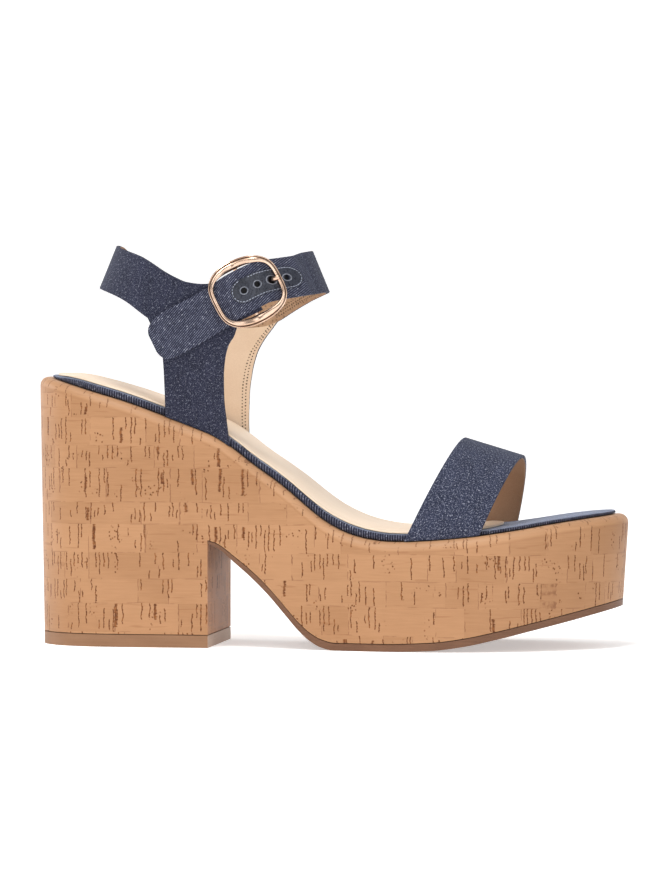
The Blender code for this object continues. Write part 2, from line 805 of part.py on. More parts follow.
def strap_lift(place):
    """Lift of the buckled strap over the quarter's middle surface, at a place along it."""
    ahead = column(BUCKLED_STRAP, 0)[::-1]
    bump = float(smooth_value(ahead, column(BUCKLED_STRAP, 3)[::-1], place))
    lying = float(smooth_value(ahead, column(BUCKLED_STRAP, 4)[::-1], place))
    over_bar = fold_radius() + layer_step()
    return bump * (over_bar - layer_step()) + lying * layer_step()


def strap_columns():
    """Columns of the strap through the buckle, from its front to its free tip."""
    ahead = column(BUCKLED_STRAP, 0)[::-1]
    lows = column(BUCKLED_STRAP, 1)[::-1]
    highs = column(BUCKLED_STRAP, 2)[::-1]
    columns = []
    places = np.linspace(BUCKLED_STRAP[0][0], ahead[4], STRAP_COLUMNS)
    for place in (*places, *STRAP_TIP_PLACES):
        low = float(smooth_value(ahead, lows, place)) * ANKLE_STRAP_WIDTH
        high = float(smooth_value(ahead, highs, place)) * ANKLE_STRAP_WIDTH
        lift = strap_lift(place)
        points = []
        for r in range(BAND_ROWS + 1):
            up = low + (high - low) * r / BAND_ROWS
            points.append(beside_buckle(place * BUCKLE_LENGTH, up, lift))
        columns.append(points)
    return columns


def quarter_point(x, z, side):
    """Point of a quarter: upright at the insole's edge, easing out to the ankle's width."""
    upper = abs(ankle_point(wrap_of(x, z), z).y)
    foot = strap_foot(x, side)
    start = float(top_height(x))
    reach = ankle_base() + QUARTER_EASE_END * ANKLE_STRAP_HEIGHT - start
    t = max(0.0, min(1.0, (z - start) / reach))
    ease = t * t * (3 - 2 * t)
    y = foot + (upper - foot) * ease
    return Vector((x, -y if side == 1 else y, z))


def add_quarter(shape, top, table, side):
    """Grid of faces from the band's lower edge down to the platform."""
    centre = along(QUARTER_CENTRE)
    half = QUARTER_WIDTH / 2
    first, last = top[0].co.x, top[-1].co.x
    drops = [0.0] + column(table, 0)
    rear_edge = [centre - half * share for share in column(table, 1)]
    front_edge = [centre + half * share for share in column(table, 2)]
    if first < last:
        edge_a, edge_b = [first] + rear_edge, [last] + front_edge
    else:
        edge_a, edge_b = [first] + front_edge, [last] + rear_edge
    previous = top
    shares = [(vert.co.x - first) / (last - first) for vert in top]
    feet_x = [edge_a[-1] + (edge_b[-1] - edge_a[-1]) * share for share in shares]
    for j in range(1, QUARTER_ROWS + 1):
        drop = j / QUARTER_ROWS
        a = float(smooth_value(drops, edge_a, drop))
        b = float(smooth_value(drops, edge_b, drop))
        row = []
        for vert, share, foot_x in zip(top, shares, feet_x):
            foot_z = float(top_height(foot_x)) + CLEARANCE
            z = vert.co.z + (foot_z - vert.co.z) * drop
            x = a + (b - a) * share
            row.append(shape.verts.new(quarter_point(x, z, side)))
        for i in range(len(top) - 1):
            shape.faces.new((previous[i], previous[i + 1], row[i + 1], row[i]))
        previous = row


def nearest_column(wraps, wrap):
    """Index of the column whose lower edge is nearest to a wrap angle."""
    return min(range(len(wraps)), key=lambda i: abs(wraps[i] - wrap))


def local_box(name, ahead, up, lift, collection):
    """Closed box in the buckle's own directions, for a cut."""
    shape = bmesh.new()
    corners = []
    for low_lift in lift:
        corners.append([
            shape.verts.new(beside_buckle(ahead[0], up[0], low_lift)),
            shape.verts.new(beside_buckle(ahead[1], up[0], low_lift)),
            shape.verts.new(beside_buckle(ahead[1], up[1], low_lift)),
            shape.verts.new(beside_buckle(ahead[0], up[1], low_lift)),
        ])
    bridge_rings(shape, corners[0], corners[1])
    shape.faces.new(corners[0])
    shape.faces.new(corners[1])
    return as_cutter(object_from_bmesh(shape, name, collection))


def strap_middle(ahead):
    """Middle of the buckled strap's width at a distance along it from the centre bar."""
    places = column(BUCKLED_STRAP, 0)[::-1]
    low = smooth_value(places, column(BUCKLED_STRAP, 1)[::-1], ahead / BUCKLE_LENGTH)
    high = smooth_value(places, column(BUCKLED_STRAP, 2)[::-1], ahead / BUCKLE_LENGTH)
    return float(low + high) / 2 * ANKLE_STRAP_WIDTH


def hole_cutter(name, ahead, radius, collection):
    """Round punch through the buckled strap alone."""
    middle = strap_lift(ahead / BUCKLE_LENGTH)
    up = strap_middle(ahead)
    low = beside_buckle(ahead, up, middle - STRAP_THICKNESS / 2 - CLEARANCE / 2)
    high = beside_buckle(ahead, up, middle + STRAP_THICKNESS)
    axis = high - low
    shape = bmesh.new()
    bmesh.ops.create_cone(
        shape, cap_ends=True, segments=16, radius1=radius, radius2=radius, depth=axis.length
    )
    bmesh.ops.rotate(shape, verts=shape.verts, matrix=axis.to_track_quat("Z", "Y").to_matrix())
    bmesh.ops.translate(shape, verts=shape.verts, vec=(low + high) / 2)
    return as_cutter(object_from_bmesh(shape, name, collection))


def build_ankle_upper(parts, cutters):
    """Two quarters, back strap and buckled ankle strap, as one wall."""
    shape = bmesh.new()
    band, wraps = band_columns()
    folds = fold_columns()
    columns = folds + band + strap_columns()
    grid = [[shape.verts.new(point) for point in points] for points in columns]
    for left, right in zip(grid, grid[1:]):
        for r in range(BAND_ROWS):
            shape.faces.new((left[r], right[r], right[r + 1], left[r + 1]))
    quarters = ((OUTER_QUARTER_WRAPS, OUTER_QUARTER, 1), (INNER_QUARTER_WRAPS, INNER_QUARTER, 2))
    for span, table, side in quarters:
        start = len(folds) + nearest_column(wraps, span[0])
        end = len(folds) + nearest_column(wraps, span[1])
        add_quarter(shape, [points[0] for points in grid[start:end + 1]], table, side)
    upper = object_from_bmesh(shape, "ankle_upper", parts)
    add_wall(upper)
    ring_reach = CENTRE_BAR_RADIUS + 2 * CLEARANCE + 2 * PRONG_RING_RADIUS
    slot_half = PRONG_RING_RADIUS + CLEARANCE
    prong_up = strap_middle(PRONG_HOLE_DISTANCE)
    slot = local_box(
        "cut_prong_slot",
        (-ring_reach - CLEARANCE, ring_reach + STRAP_THICKNESS),
        (prong_up - slot_half, prong_up + slot_half),
        (-fold_radius() - STRAP_THICKNESS, fold_radius() + STRAP_THICKNESS / 2 + CLEARANCE / 2),
        cutters,
    )
    add_boolean(upper, slot, "DIFFERENCE")
    for i in range(-HOLE_COUNT_BEHIND, HOLE_COUNT_AHEAD + 1):
        radius = PRONG_HOLE_RADIUS if i == 0 else HOLE_RADIUS
        punch = hole_cutter(f"punch_{i}", PRONG_HOLE_DISTANCE + i * HOLE_SPACING, radius, cutters)
        add_boolean(upper, punch, "DIFFERENCE")
    finish(upper, new_material("upper_denim", (0.045, 0.055, 0.10), 0.85), 60.0)


def wire(points, radii, name, collection, cyclic=False):
    """Round wire through points, as a mesh."""
    curve = bpy.data.curves.new(name, "CURVE")
    curve.dimensions = "3D"
    curve.bevel_depth = 1.0
    curve.bevel_resolution = 2
    curve.use_fill_caps = True
    spline = curve.splines.new("POLY")
    spline.points.add(len(points) - 1)
    for i, (point, radius) in enumerate(zip(points, radii)):
        spline.points[i].co = (*point, 1.0)
        spline.points[i].radius = radius
    spline.use_cyclic_u = cyclic
    holder = bpy.data.objects.new(name + "_curve", curve)
    collection.objects.link(holder)
    bpy.context.view_layer.update()
    depsgraph = bpy.context.evaluated_depsgraph_get()
    mesh = bpy.data.meshes.new_from_object(holder.evaluated_get(depsgraph))
    shape = bmesh.new()
    shape.from_mesh(mesh)
    bmesh.ops.remove_doubles(shape, verts=shape.verts, dist=1e-6)
    bpy.data.objects.remove(holder)
    bpy.data.curves.remove(curve)
    bpy.data.meshes.remove(mesh)
    return object_from_bmesh(shape, name, collection)


def frame_lift(place):
    """Lift of the buckle's frame: its ends clear the strap and its rails dip to the bar."""
    end = strap_lift(place) + STRAP_THICKNESS / 2 + 2 * CLEARANCE + END_BAR_RADIUS
    away = min(1.0, abs(place) / FRAME_DIP_SHARE)
    rail = CENTRE_BAR_RADIUS
    return rail + (end - rail) * away * away * (3 - 2 * away)


def build_buckle_frame(parts, cutters):
    """Rounded square frame with a centre bar."""
    points = []
    radii = []
    for i in range(FRAME_STEPS):
        turn = 2 * math.pi * i / FRAME_STEPS
        c = math.copysign(abs(math.cos(turn)) ** (2 / BUCKLE_RAIL_SQUARENESS), math.cos(turn))
        s = math.copysign(abs(math.sin(turn)) ** (2 / BUCKLE_END_SQUARENESS), math.sin(turn))
        up = BUCKLE_OFFSET_HEIGHT + s * BUCKLE_WIDTH / 2
        points.append(beside_buckle(c * BUCKLE_LENGTH / 2, up, frame_lift(c / 2)))
        radii.append(END_BAR_RADIUS + (RAIL_RADIUS - END_BAR_RADIUS) * abs(math.sin(turn)) ** 3)
    frame = wire(points, radii, "buckle_frame", parts, cyclic=True)
    reach = BUCKLE_WIDTH / 2
    bar_ends = (BUCKLE_OFFSET_HEIGHT - reach, BUCKLE_OFFSET_HEIGHT + reach)
    bar_points = [beside_buckle(0.0, up, 0.0) for up in np.linspace(*bar_ends, 7)]
    bar = as_cutter(wire(bar_points, [CENTRE_BAR_RADIUS] * 7, "centre_bar", cutters))
    add_boolean(frame, bar, "UNION")
    finish(frame, new_material("buckle_gold", (0.83, 0.58, 0.42), 0.22, 1.0), 60.0)


def build_buckle_prong(parts, cutters):
    """Prong looped round the centre bar, through the strap's hole and onto the front bar."""
    ring_middle = CENTRE_BAR_RADIUS + CLEARANCE + PRONG_RING_RADIUS
    prong_up = strap_middle(PRONG_HOLE_DISTANCE)
    circle = []
    for i in range(RING_STEPS):
        turn = 2 * math.pi * i / RING_STEPS
        ahead, lift = ring_middle * math.cos(turn), ring_middle * math.sin(turn)
        circle.append(beside_buckle(ahead, prong_up, lift))
    ring = wire(circle, [PRONG_RING_RADIUS] * RING_STEPS, "prong_ring", cutters, cyclic=True)
    hole = PRONG_HOLE_DISTANCE
    under = strap_lift(hole / BUCKLE_LENGTH) - STRAP_THICKNESS / 2 - CLEARANCE - PRONG_RADIUS
    path = [(ring_middle, 0.0), (hole / 2, 0.0), (hole - 2 * PRONG_RING_RADIUS, under / 3)]
    for place, rise in PRONG_RISE:
        path.append((hole + place * PRONG_HOLE_RADIUS, under + rise * PRONG_HOLE_RADIUS))
    over_bar = END_BAR_RADIUS + CLEARANCE + PRONG_RADIUS
    front = BUCKLE_LENGTH / 2
    for degrees in (150, 120, 90):
        turn = math.radians(degrees)
        path.append((front + over_bar * math.cos(turn), frame_lift(0.5) + over_bar * math.sin(turn)))
    path.append((front + over_bar, frame_lift(0.5) + over_bar - CLEARANCE))
    points = [beside_buckle(ahead, prong_up, lift) for ahead, lift in path]
    prong = wire(points, [PRONG_RADIUS] * len(points), "buckle_prong", parts)
    add_boolean(prong, as_cutter(ring), "UNION")
    finish(prong, new_material("prong_gold", (0.83, 0.58, 0.42), 0.22, 1.0), 60.0)


def clear_scene():
    """Removes the objects that a new file holds."""
    for item in list(bpy.data.objects):
        bpy.data.objects.remove(item, do_unlink=True)


def main():
    """Builds every piece of the shoe."""
    clear_scene()
    parts = new_collection("platform_sandal")
    cutters = new_collection("cutters")
    build_outsole(parts, cutters)
    build_top_lift(parts, cutters)
    build_platform(parts, cutters)
    build_insole(parts)
    build_sock_lining(parts, cutters)
    build_vamp_strap(parts)
    build_ankle_upper(parts, cutters)
    build_buckle_frame(parts, cutters)
    build_buckle_prong(parts, cutters)


main()
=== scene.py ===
"""Looks of a right-foot platform sandal: cork platform, denim straps and a rose-gold buckle.

Metres throughout. +X points to the toe, +Y to the inner side of the foot and +Z up.
"""

import logging
import math
from dataclasses import dataclass, field
from enum import Enum
from typing import Optional, Sequence

import bmesh
import bpy
import numpy as np
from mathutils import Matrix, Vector


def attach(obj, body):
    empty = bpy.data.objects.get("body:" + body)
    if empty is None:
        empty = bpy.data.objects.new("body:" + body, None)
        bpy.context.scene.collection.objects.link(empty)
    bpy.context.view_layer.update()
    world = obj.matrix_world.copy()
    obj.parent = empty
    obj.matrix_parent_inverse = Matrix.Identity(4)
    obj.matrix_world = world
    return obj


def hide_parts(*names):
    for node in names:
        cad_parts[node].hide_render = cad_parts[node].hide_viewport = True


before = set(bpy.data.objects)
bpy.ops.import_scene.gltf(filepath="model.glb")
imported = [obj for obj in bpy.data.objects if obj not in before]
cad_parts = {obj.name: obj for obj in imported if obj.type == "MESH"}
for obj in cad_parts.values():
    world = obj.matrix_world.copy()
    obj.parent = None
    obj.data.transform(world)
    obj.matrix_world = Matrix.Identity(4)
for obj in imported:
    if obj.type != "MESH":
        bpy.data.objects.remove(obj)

log = logging.getLogger("platform_sandal")

Colour = tuple[float, float, float]
Rows = Sequence[Sequence[float]]
Faces = list[tuple[int, ...]]
Array = np.ndarray
Piece = bpy.types.Object
Material = bpy.types.Material
Socket = bpy.types.NodeSocket

# Half widths of the platform's outline: place along the shoe, outer share, inner share
HEEL_OUTLINE: Rows = (
    (0.000, 0.000, 0.000), (0.018, 0.250, 0.250), (0.060, 0.408, 0.408), (0.120, 0.482, 0.480),
    (0.200, 0.500, 0.498), (0.290, 0.508, 0.486), (0.380, 0.532, 0.470),
)
BALL_OUTLINE: Rows = (
    (0.460, 0.398, 0.338), (0.540, 0.440, 0.385), (0.620, 0.480, 0.440), (0.695, 0.500, 0.485),
    (0.760, 0.488, 0.500), (0.830, 0.437, 0.488), (0.890, 0.357, 0.440), (0.940, 0.255, 0.360),
    (0.978, 0.130, 0.252), (1.000, -0.085, 0.085),
)

# Top of the platform: place along the shoe, share of the climb to the heel
HEEL_CLIMB: Rows = (
    (0.0000, 1.030), (0.0392, 1.000), (0.0965, 0.940), (0.1638, 0.866), (0.2302, 0.777),
    (0.2844, 0.701), (0.3141, 0.655), (0.3538, 0.557), (0.3809, 0.478), (0.4191, 0.380),
    (0.4482, 0.298), (0.4774, 0.206), (0.5065, 0.124), (0.5317, 0.072), (0.5568, 0.036),
    (0.5879, 0.011), (0.6201, 0.000), (1.0000, 0.000),
)

# Rise of the platform's top towards the toe: place along the shoe, share of the toe spring
TOE_CLIMB: Rows = (
    (0.0000, 0.000), (0.6332, 0.000), (0.6834, 0.035), (0.7387, 0.100), (0.7789, 0.165),
    (0.8342, 0.280), (0.8844, 0.400), (0.9397, 0.510), (1.0000, 0.600),
)

# Underside of the outsole: place, share of the breast's height, share of the toe spring, thickness
SOLE_PROFILE: Rows = (
    (0.3095, 0.972, 0.000, 0.35), (0.3256, 0.932, 0.000, 0.50), (0.3558, 0.794, 0.000, 0.73),
    (0.3849, 0.653, 0.000, 0.87), (0.4141, 0.493, 0.000, 0.95), (0.4412, 0.322, 0.000, 1.00),
    (0.4623, 0.190, 0.000, 1.03), (0.4814, 0.093, 0.000, 1.03), (0.5025, 0.028, 0.000, 1.00),
    (0.5266, 0.000, 0.000, 0.95), (0.6111, 0.000, 0.000, 0.95), (0.6905, 0.000, 0.035, 1.00),
    (0.7457, 0.000, 0.134, 1.00), (0.8000, 0.000, 0.297, 0.97), (0.8543, 0.000, 0.483, 0.94),
    (0.9085, 0.000, 0.669, 0.93), (0.9588, 0.000, 0.849, 0.90), (1.0251, 0.000, 1.080, 0.85),
)

# Thickness of the insole: place along the shoe, share of its full thickness
INSOLE_BUILD: Rows = (
    (0.00, 0.35), (0.03, 0.35), (0.06, 0.75), (0.09, 0.97), (0.12, 1.00), (0.42, 1.10),
    (0.52, 1.20), (0.60, 1.00), (0.70, 0.75), (0.80, 0.55), (1.00, 0.50),
)

# Lower edge of the insole: inset and height as shares of the edge's radius
INSOLE_FOOT: Rows = ((1 / 2, 0.0), (1 / 6, 1 / 6), (0.0, 1 / 2))

# Edge of the sock: inset and height as shares of its thickness
SOCK_EDGE: Rows = ((0.0, 0.0), (0.0, 0.55), (0.15, 0.85), (0.5, 1.0))

# Band round the ankle: wrap of lower edge, wrap of upper edge, middle and width as shares.
# The wrap is 0 at the front, 90 on the outer side and 180 at the back.
ANKLE_BAND: Rows = (
    (77.4, 81.5, 0.684, 1.067), (82.0, 85.5, 0.668, 1.062), (88.0, 90.0, 0.660, 1.084),
    (94.0, 95.0, 0.665, 1.124), (100.0, 100.0, 0.685, 1.152), (106.0, 106.0, 0.714, 1.165),
    (112.0, 112.0, 0.748, 1.150), (118.0, 118.0, 0.781, 1.108), (126.0, 126.0, 0.816, 1.045),
    (138.0, 138.0, 0.846, 0.990), (156.0, 156.0, 0.869, 0.966), (180.0, 180.0, 0.879, 0.950),
    (204.0, 204.0, 0.838, 0.938), (222.0, 222.0, 0.804, 0.955), (234.0, 234.0, 0.755, 0.935),
    (242.0, 242.0, 0.712, 0.870), (248.0, 248.0, 0.701, 0.870), (254.0, 254.0, 0.679, 0.874),
    (260.0, 260.0, 0.665, 0.890), (266.0, 266.0, 0.658, 0.930), (272.0, 272.0, 0.665, 1.040),
    (278.0, 278.0, 0.679, 1.152), (285.0, 285.0, 0.694, 1.185), (291.0, 291.0, 0.718, 1.169),
    (298.0, 298.0, 0.749, 1.096), (308.0, 308.0, 0.784, 1.006), (320.0, 320.0, 0.815, 0.955),
    (338.0, 338.0, 0.841, 0.927), (360.0, 360.0, 0.854, 0.916), (379.0, 381.0, 0.847, 0.910),
)

# Quarters: share of the drop to the platform, rear and front edges as shares of the half width
OUTER_QUARTER: Rows = (
    (0.07, 1.40, 1.38), (0.15, 1.26, 1.19), (0.26, 1.12, 1.07), (0.42, 1.01, 1.00),
    (0.60, 1.00, 0.99), (0.78, 1.00, 1.05), (1.00, 1.00, 1.15),
)
INNER_QUARTER: Rows = (
    (0.07, 1.40, 1.80), (0.15, 1.26, 1.56), (0.26, 1.12, 1.33), (0.42, 1.01, 1.18),
    (0.60, 1.00, 1.12), (0.78, 1.00, 1.12), (1.00, 1.00, 1.15),
)

# Strap through the buckle: place, lower and upper edge, lift over the bar, lift over the quarter
BUCKLED_STRAP: Rows = (
    (0.835, -0.615, 0.345, 0.02, 0.15), (0.582, -0.520, 0.455, 0.15, 0.40),
    (0.416, -0.455, 0.530, 0.36, 0.60), (0.212, -0.400, 0.575, 0.76, 0.80),
    (0.092, -0.405, 0.578, 0.95, 0.95), (0.000, -0.412, 0.573, 1.00, 1.00),
    (-0.092, -0.420, 0.566, 0.97, 1.00), (-0.194, -0.430, 0.555, 0.78, 1.00),
    (-0.369, -0.460, 0.520, 0.38, 1.00), (-0.554, -0.502, 0.480, 0.14, 1.00),
    (-0.905, -0.548, 0.457, 0.00, 1.00), (-1.265, -0.584, 0.444, 0.00, 1.00),
    (-1.468, -0.592, 0.405, 0.00, 1.00), (-1.607, -0.556, 0.320, 0.00, 1.00),
    (-1.686, -0.427, 0.208, 0.00, 1.00), (-1.710, -0.310, 0.112, 0.00, 1.00),
)

# Fold of the outer quarter's end round the centre bar: place, height as share
FOLD_UNDER: Rows = ((-0.371, -1.00), (-0.283, -1.00), (-0.182, -1.02))
FOLD_OVER: Rows = ((-0.080, 0.93), (-0.169, 0.65), (-0.258, 0.28))

# Way of the prong up through its hole, as shares of the hole's radius
PRONG_RISE: Rows = ((-0.56, 0.12), (-0.12, 0.88), (0.06, 1.75))

# Studio's lights: name, place, edge, power in watts, colour
LIGHTS = (
    ("key_left", (-0.5, -1.7, 1.2), 1.2, 9.5, (1.0, 0.985, 0.96)),
    ("fill_right", (1.2, -1.6, 0.7), 1.0, 5.5, (0.97, 0.98, 1.0)),
    ("top", (-0.15, -0.55, 1.6), 0.6, 16.0, (1.0, 1.0, 1.0)),
    ("rim_left", (-1.4, 0.5, 0.5), 0.5, 7.0, (1.0, 1.0, 1.0)),
)


class Side(Enum):
    """Side of the foot; the value is its column in the outline tables."""

    OUTER = 1
    INNER = 2

    @property
    def sign(self) -> float:
        """Sign of Y on this side."""
        return -1.0 if self is Side.OUTER else 1.0


class Weave(Enum):
    """How the pale yarn shows in a denim."""

    TWILL = "lines along the diagonal"
    SPECKLED = "scattered dots"
    RIBBED = "upright ribs"


class SmoothTable:
    """Monotone cubic curve through a table: smooth, with flat runs kept flat."""

    def __init__(self, keys: Sequence[float], values: Sequence[float]) -> None:
        """Works out the slopes once.

        Args:
            keys: rising places.
            values: values at these places.
        """
        self.keys = np.asarray(keys, float)
        self.values = np.asarray(values, float)
        self.gaps = np.diff(self.keys)
        slopes = np.diff(self.values) / self.gaps
        self.tangents = np.zeros_like(self.values)
        self.tangents[0] = slopes[0]
        self.tangents[-1] = slopes[-1]
        for i in range(1, len(self.keys) - 1):
            if slopes[i - 1] * slopes[i] > 0.0:
                before = 2.0 * self.gaps[i] + self.gaps[i - 1]
                after = self.gaps[i] + 2.0 * self.gaps[i - 1]
                blend = before / slopes[i - 1] + after / slopes[i]
                self.tangents[i] = (before + after) / blend

    @classmethod
    def of(cls, rows: Rows, column: int, scale: float = 1.0) -> "SmoothTable":
        """Curve of one column over the first one.

        Args:
            rows: table whose first column rises or falls throughout.
            column: index of the column that is followed.
            scale: factor for its values.

        Returns:
            The curve.
        """
        ordered = sorted(rows, key=lambda row: row[0])
        return cls([row[0] for row in ordered], [row[column] * scale for row in ordered])

    def __call__(self, at: float | Array) -> Array:
        """Value at one place or at an array of places.

        Args:
            at: the place or places, held within the table's range.

        Returns:
            The value or values.
        """
        at = np.clip(np.asarray(at, float), self.keys[0], self.keys[-1])
        cell = np.clip(np.searchsorted(self.keys, at, side="right") - 1, 0, len(self.gaps) - 1)
        width = self.gaps[cell]
        t = (at - self.keys[cell]) / width
        return (
            (1 + 2 * t) * (1 - t) ** 2 * self.values[cell]
            + t * (1 - t) ** 2 * width * self.tangents[cell]
            + t * t * (3 - 2 * t) * self.values[cell + 1]
            + t * t * (t - 1) * width * self.tangents[cell + 1]
        )


def ease(t: float) -> float:
    """Smooth step from 0 to 1 of a share that may lie outside them."""
    t = max(0.0, min(1.0, t))
    return t * t * (3 - 2 * t)


def signed_power(value: float, power: float) -> float:
    """Power of a number's size, with its sign kept."""
    return math.copysign(abs(value) ** power, value)


def unit(vectors: Array) -> Array:
    """Rows scaled to a length of 1."""
    return vectors / np.linalg.norm(vectors, axis=1)[:, None]


def travel(points: Sequence[Sequence[float]]) -> Array:
    """Distance from the first point, at each point of a path or of each path of a grid."""
    steps = np.linalg.norm(np.diff(np.asarray(points, float), axis=0), axis=-1)
    return np.concatenate((np.zeros_like(steps[:1]), np.cumsum(steps, axis=0)))


def along_path(path: Array, at: Array) -> Array:
    """Points of a path at distances from its start."""
    travelled = travel(path)
    return np.column_stack([np.interp(at, travelled, column) for column in path.T])


def grid_faces(
    lines: int, size: int, round_lines: bool = False, round_size: bool = False
) -> Faces:
    """Faces between the points of neighbouring lines.

    Args:
        lines: number of lines.
        size: number of points of each line.
        round_lines: whether the last line joins the first one.
        round_size: whether the last point of a line joins its first one.

    Returns:
        Corner indices of each face.
    """
    faces = []
    for i in range(lines if round_lines else lines - 1):
        here, there = i * size, (i + 1) % lines * size
        for k in range(size if round_size else size - 1):
            m = (k + 1) % size
            faces.append((here + k, there + k, there + m, here + m))
    return faces


@dataclass
class ShoeForm:
    """Sizes of the shoe's body and the curves that its pieces are fitted to."""

    length: float = 0.2388
    ball_width: float = 0.087
    heel_width: float = 0.059
    heel_height: float = 0.1068
    platform_height: float = 0.0435
    heel_length: float = 0.0733
    breast_height: float = 0.0432
    toe_spring: float = 0.0172
    edge_radius: float = 0.0040
    heel_taper: float = 0.0016
    toe_undercut: float = 0.0032
    side_taper: float = 0.0012
    outsole_thickness: float = 0.0030
    lift_thickness: float = 0.0050
    insole_margin: float = 0.0052
    insole_thickness: float = 0.0030
    strap_thickness: float = 0.0016
    clearance: float = 0.0003
    foot_clearance: float = 0.0004
    stations: int = 110
    outlines: dict[float, Array] = field(default_factory=dict)

    def __post_init__(self) -> None:
        """Makes the curves of the tables."""
        self.climb = SmoothTable.of(HEEL_CLIMB, 1, self.heel_height - self.platform_height)
        self.toe = SmoothTable.of(TOE_CLIMB, 1, self.toe_spring)
        self.insole = SmoothTable.of(INSOLE_BUILD, 1, self.insole_thickness)
        self.widths: dict[Side, SmoothTable] = {}
        for side in Side:
            rows = [(self.angle(r[0]), r[side.value] * self.heel_width) for r in HEEL_OUTLINE]
            rows += [(self.angle(r[0]), r[side.value] * self.ball_width) for r in BALL_OUTLINE]
            self.widths[side] = SmoothTable.of(rows, 1)

    @staticmethod
    def angle(place: float) -> float:
        """Angle that spreads stations evenly round the ends of the outline."""
        return math.acos(1.0 - 2.0 * max(0.0, min(1.0, place)))

    def along(self, share: float | Array) -> float | Array:
        """X of a place given as a share of the length from the heel's back."""
        return (share - 0.5) * self.length

    def share(self, x: float | Array) -> float | Array:
        """Place along the shoe of an X coordinate."""
        return x / self.length + 0.5

    def top(self, x: float | Array) -> Array:
        """Height of the platform's top at X."""
        place = self.share(x)
        return self.platform_height + self.climb(place) + self.toe(place)

    @property
    def breast(self) -> float:
        """X of the heel's front face."""
        return -self.length / 2 + self.heel_length

    def outline(self, inset: float = 0.0) -> Array:
        """Closed plan outline, from the heel's back up the inner side and down the outer one.

        Args:
            inset: distance inwards from the platform's edge.

        Returns:
            Points as rows of X and Y.
        """
        if inset not in self.outlines:
            angles = np.linspace(0.0, math.pi, self.stations + 1)
            x = self.along((1.0 - np.cos(angles)) / 2.0)
            inner = np.column_stack((x, self.widths[Side.INNER](angles)))
            outer = np.column_stack((x, -self.widths[Side.OUTER](angles)))
            ring = np.vstack((inner, outer[-2:0:-1]))
            tangent = np.roll(ring, -1, axis=0) - np.roll(ring, 1, axis=0)
            normal = unit(np.column_stack((tangent[:, 1], -tangent[:, 0])))
            self.outlines[inset] = ring + normal * inset
        return self.outlines[inset]

    def edge(self, x: float, side: Side, inset: float) -> float:
        """Distance of an inset outline from the shoe's middle line.

        Args:
            x: place along the shoe.
            side: side of the foot.
            inset: distance inwards from the platform's edge.

        Returns:
            The half width there.
        """
        ring = self.outline(inset)
        rim = ring[:self.stations + 1]
        if side is Side.OUTER:
            rim = np.vstack((ring[:1], ring[:self.stations - 1:-1]))
        return float(np.interp(x, rim[:, 0], np.abs(rim[:, 1])))

    def foot(self, x: float, side: Side) -> float:
        """Distance of a strap's foot from the middle line, just outside the insole."""
        inset = self.insole_margin - self.foot_clearance - self.strap_thickness / 2
        return self.edge(x, side, inset)

    def ring(self, inset: float, above: float = 0.0, insole_share: float = 0.0) -> Array:
        """Outline on the platform's top, raised.

        Args:
            inset: distance inwards from the platform's edge.
            above: height over the top.
            insole_share: share of the insole's thickness that is added.

        Returns:
            Points of the ring.
        """
        ring = self.outline(inset)
        height = self.top(ring[:, 0]) + above
        height = height + self.insole(self.share(ring[:, 0])) * insole_share
        return np.column_stack((ring, height))

    def rounding(self, radius: float, steps: int) -> list[tuple[float, float]]:
        """Inset and drop of each ring of a rounded edge, from the wall to the top.

        Args:
            radius: radius of the rounding.
            steps: number of facets.

        Returns:
            Pairs of inset and drop.
        """
        turns = [math.pi / 2 * i / steps for i in range(steps + 1)]
        return [(radius * (1 - math.cos(t)), radius * (1 - math.sin(t))) for t in turns]

    def sole_curves(self, count: int = 161) -> tuple[Array, Array]:
        """Side view of the outsole's underside and upper side.

        Args:
            count: number of points of each.

        Returns:
            Rows of X and Z of the lower and of the upper curve.
        """
        places = np.linspace(SOLE_PROFILE[0][0], SOLE_PROFILE[-1][0], count)
        low = SmoothTable.of(SOLE_PROFILE, 1, self.breast_height)(places)
        low = low + SmoothTable.of(SOLE_PROFILE, 2, self.toe_spring)(places)
        thick = SmoothTable.of(SOLE_PROFILE, 3, self.outsole_thickness)(places)
        x = self.along(places)
        middle = self.along(0.5)
        x = x + (self.breast - x[0]) * np.clip((middle - x) / (middle - x[0]), 0.0, 1.0)
        return np.column_stack((x, low)), np.column_stack((x, low + thick))


def stacked(name: str, rings: Sequence[Array]) -> Piece:
    """Closed solid through a stack of plan rings.

    Args:
        name: name of the object.
        rings: rings from the lowest to the highest, of as many points each.

    Returns:
        The new object, linked to the scene.
    """
    count = len(rings[0])
    half = count // 2
    sides = grid_faces(len(rings), count, round_size=True)
    faces = [(d, a, b, c) for a, b, c, d in sides]
    last = (len(rings) - 1) * count
    for start, turned in ((0, False), (last, True)):
        strips = [(0, 1, count - 1)]
        strips += [(i, i + 1, count - i - 1, count - i) for i in range(1, half - 1)]
        strips.append((half - 1, half, half + 1))
        for strip in strips:
            corners = [start + i for i in strip]
            faces.append(tuple(corners[::-1]) if turned else tuple(corners))
    return mesh_object(name, np.vstack(rings), faces)


def mesh_object(
    name: str, points: Array, faces: Sequence[Sequence[int]], fix_normals: bool = True
) -> Piece:
    """Object of points and faces.

    Args:
        name: name of the object.
        points: rows of X, Y and Z.
        faces: corner indices of each face.
        fix_normals: whether a closed shape's faces are turned outwards.

    Returns:
        The new object, linked to the scene.
    """
    mesh = bpy.data.meshes.new(name)
    mesh.from_pydata([tuple(map(float, point)) for point in points], [], [tuple(f) for f in faces])
    if fix_normals:
        shape = bmesh.new()
        shape.from_mesh(mesh)
        bmesh.ops.recalc_face_normals(shape, faces=shape.faces)
        shape.to_mesh(mesh)
        shape.free()
    piece = bpy.data.objects.new(name, mesh)
    bpy.context.scene.collection.objects.link(piece)
    return piece


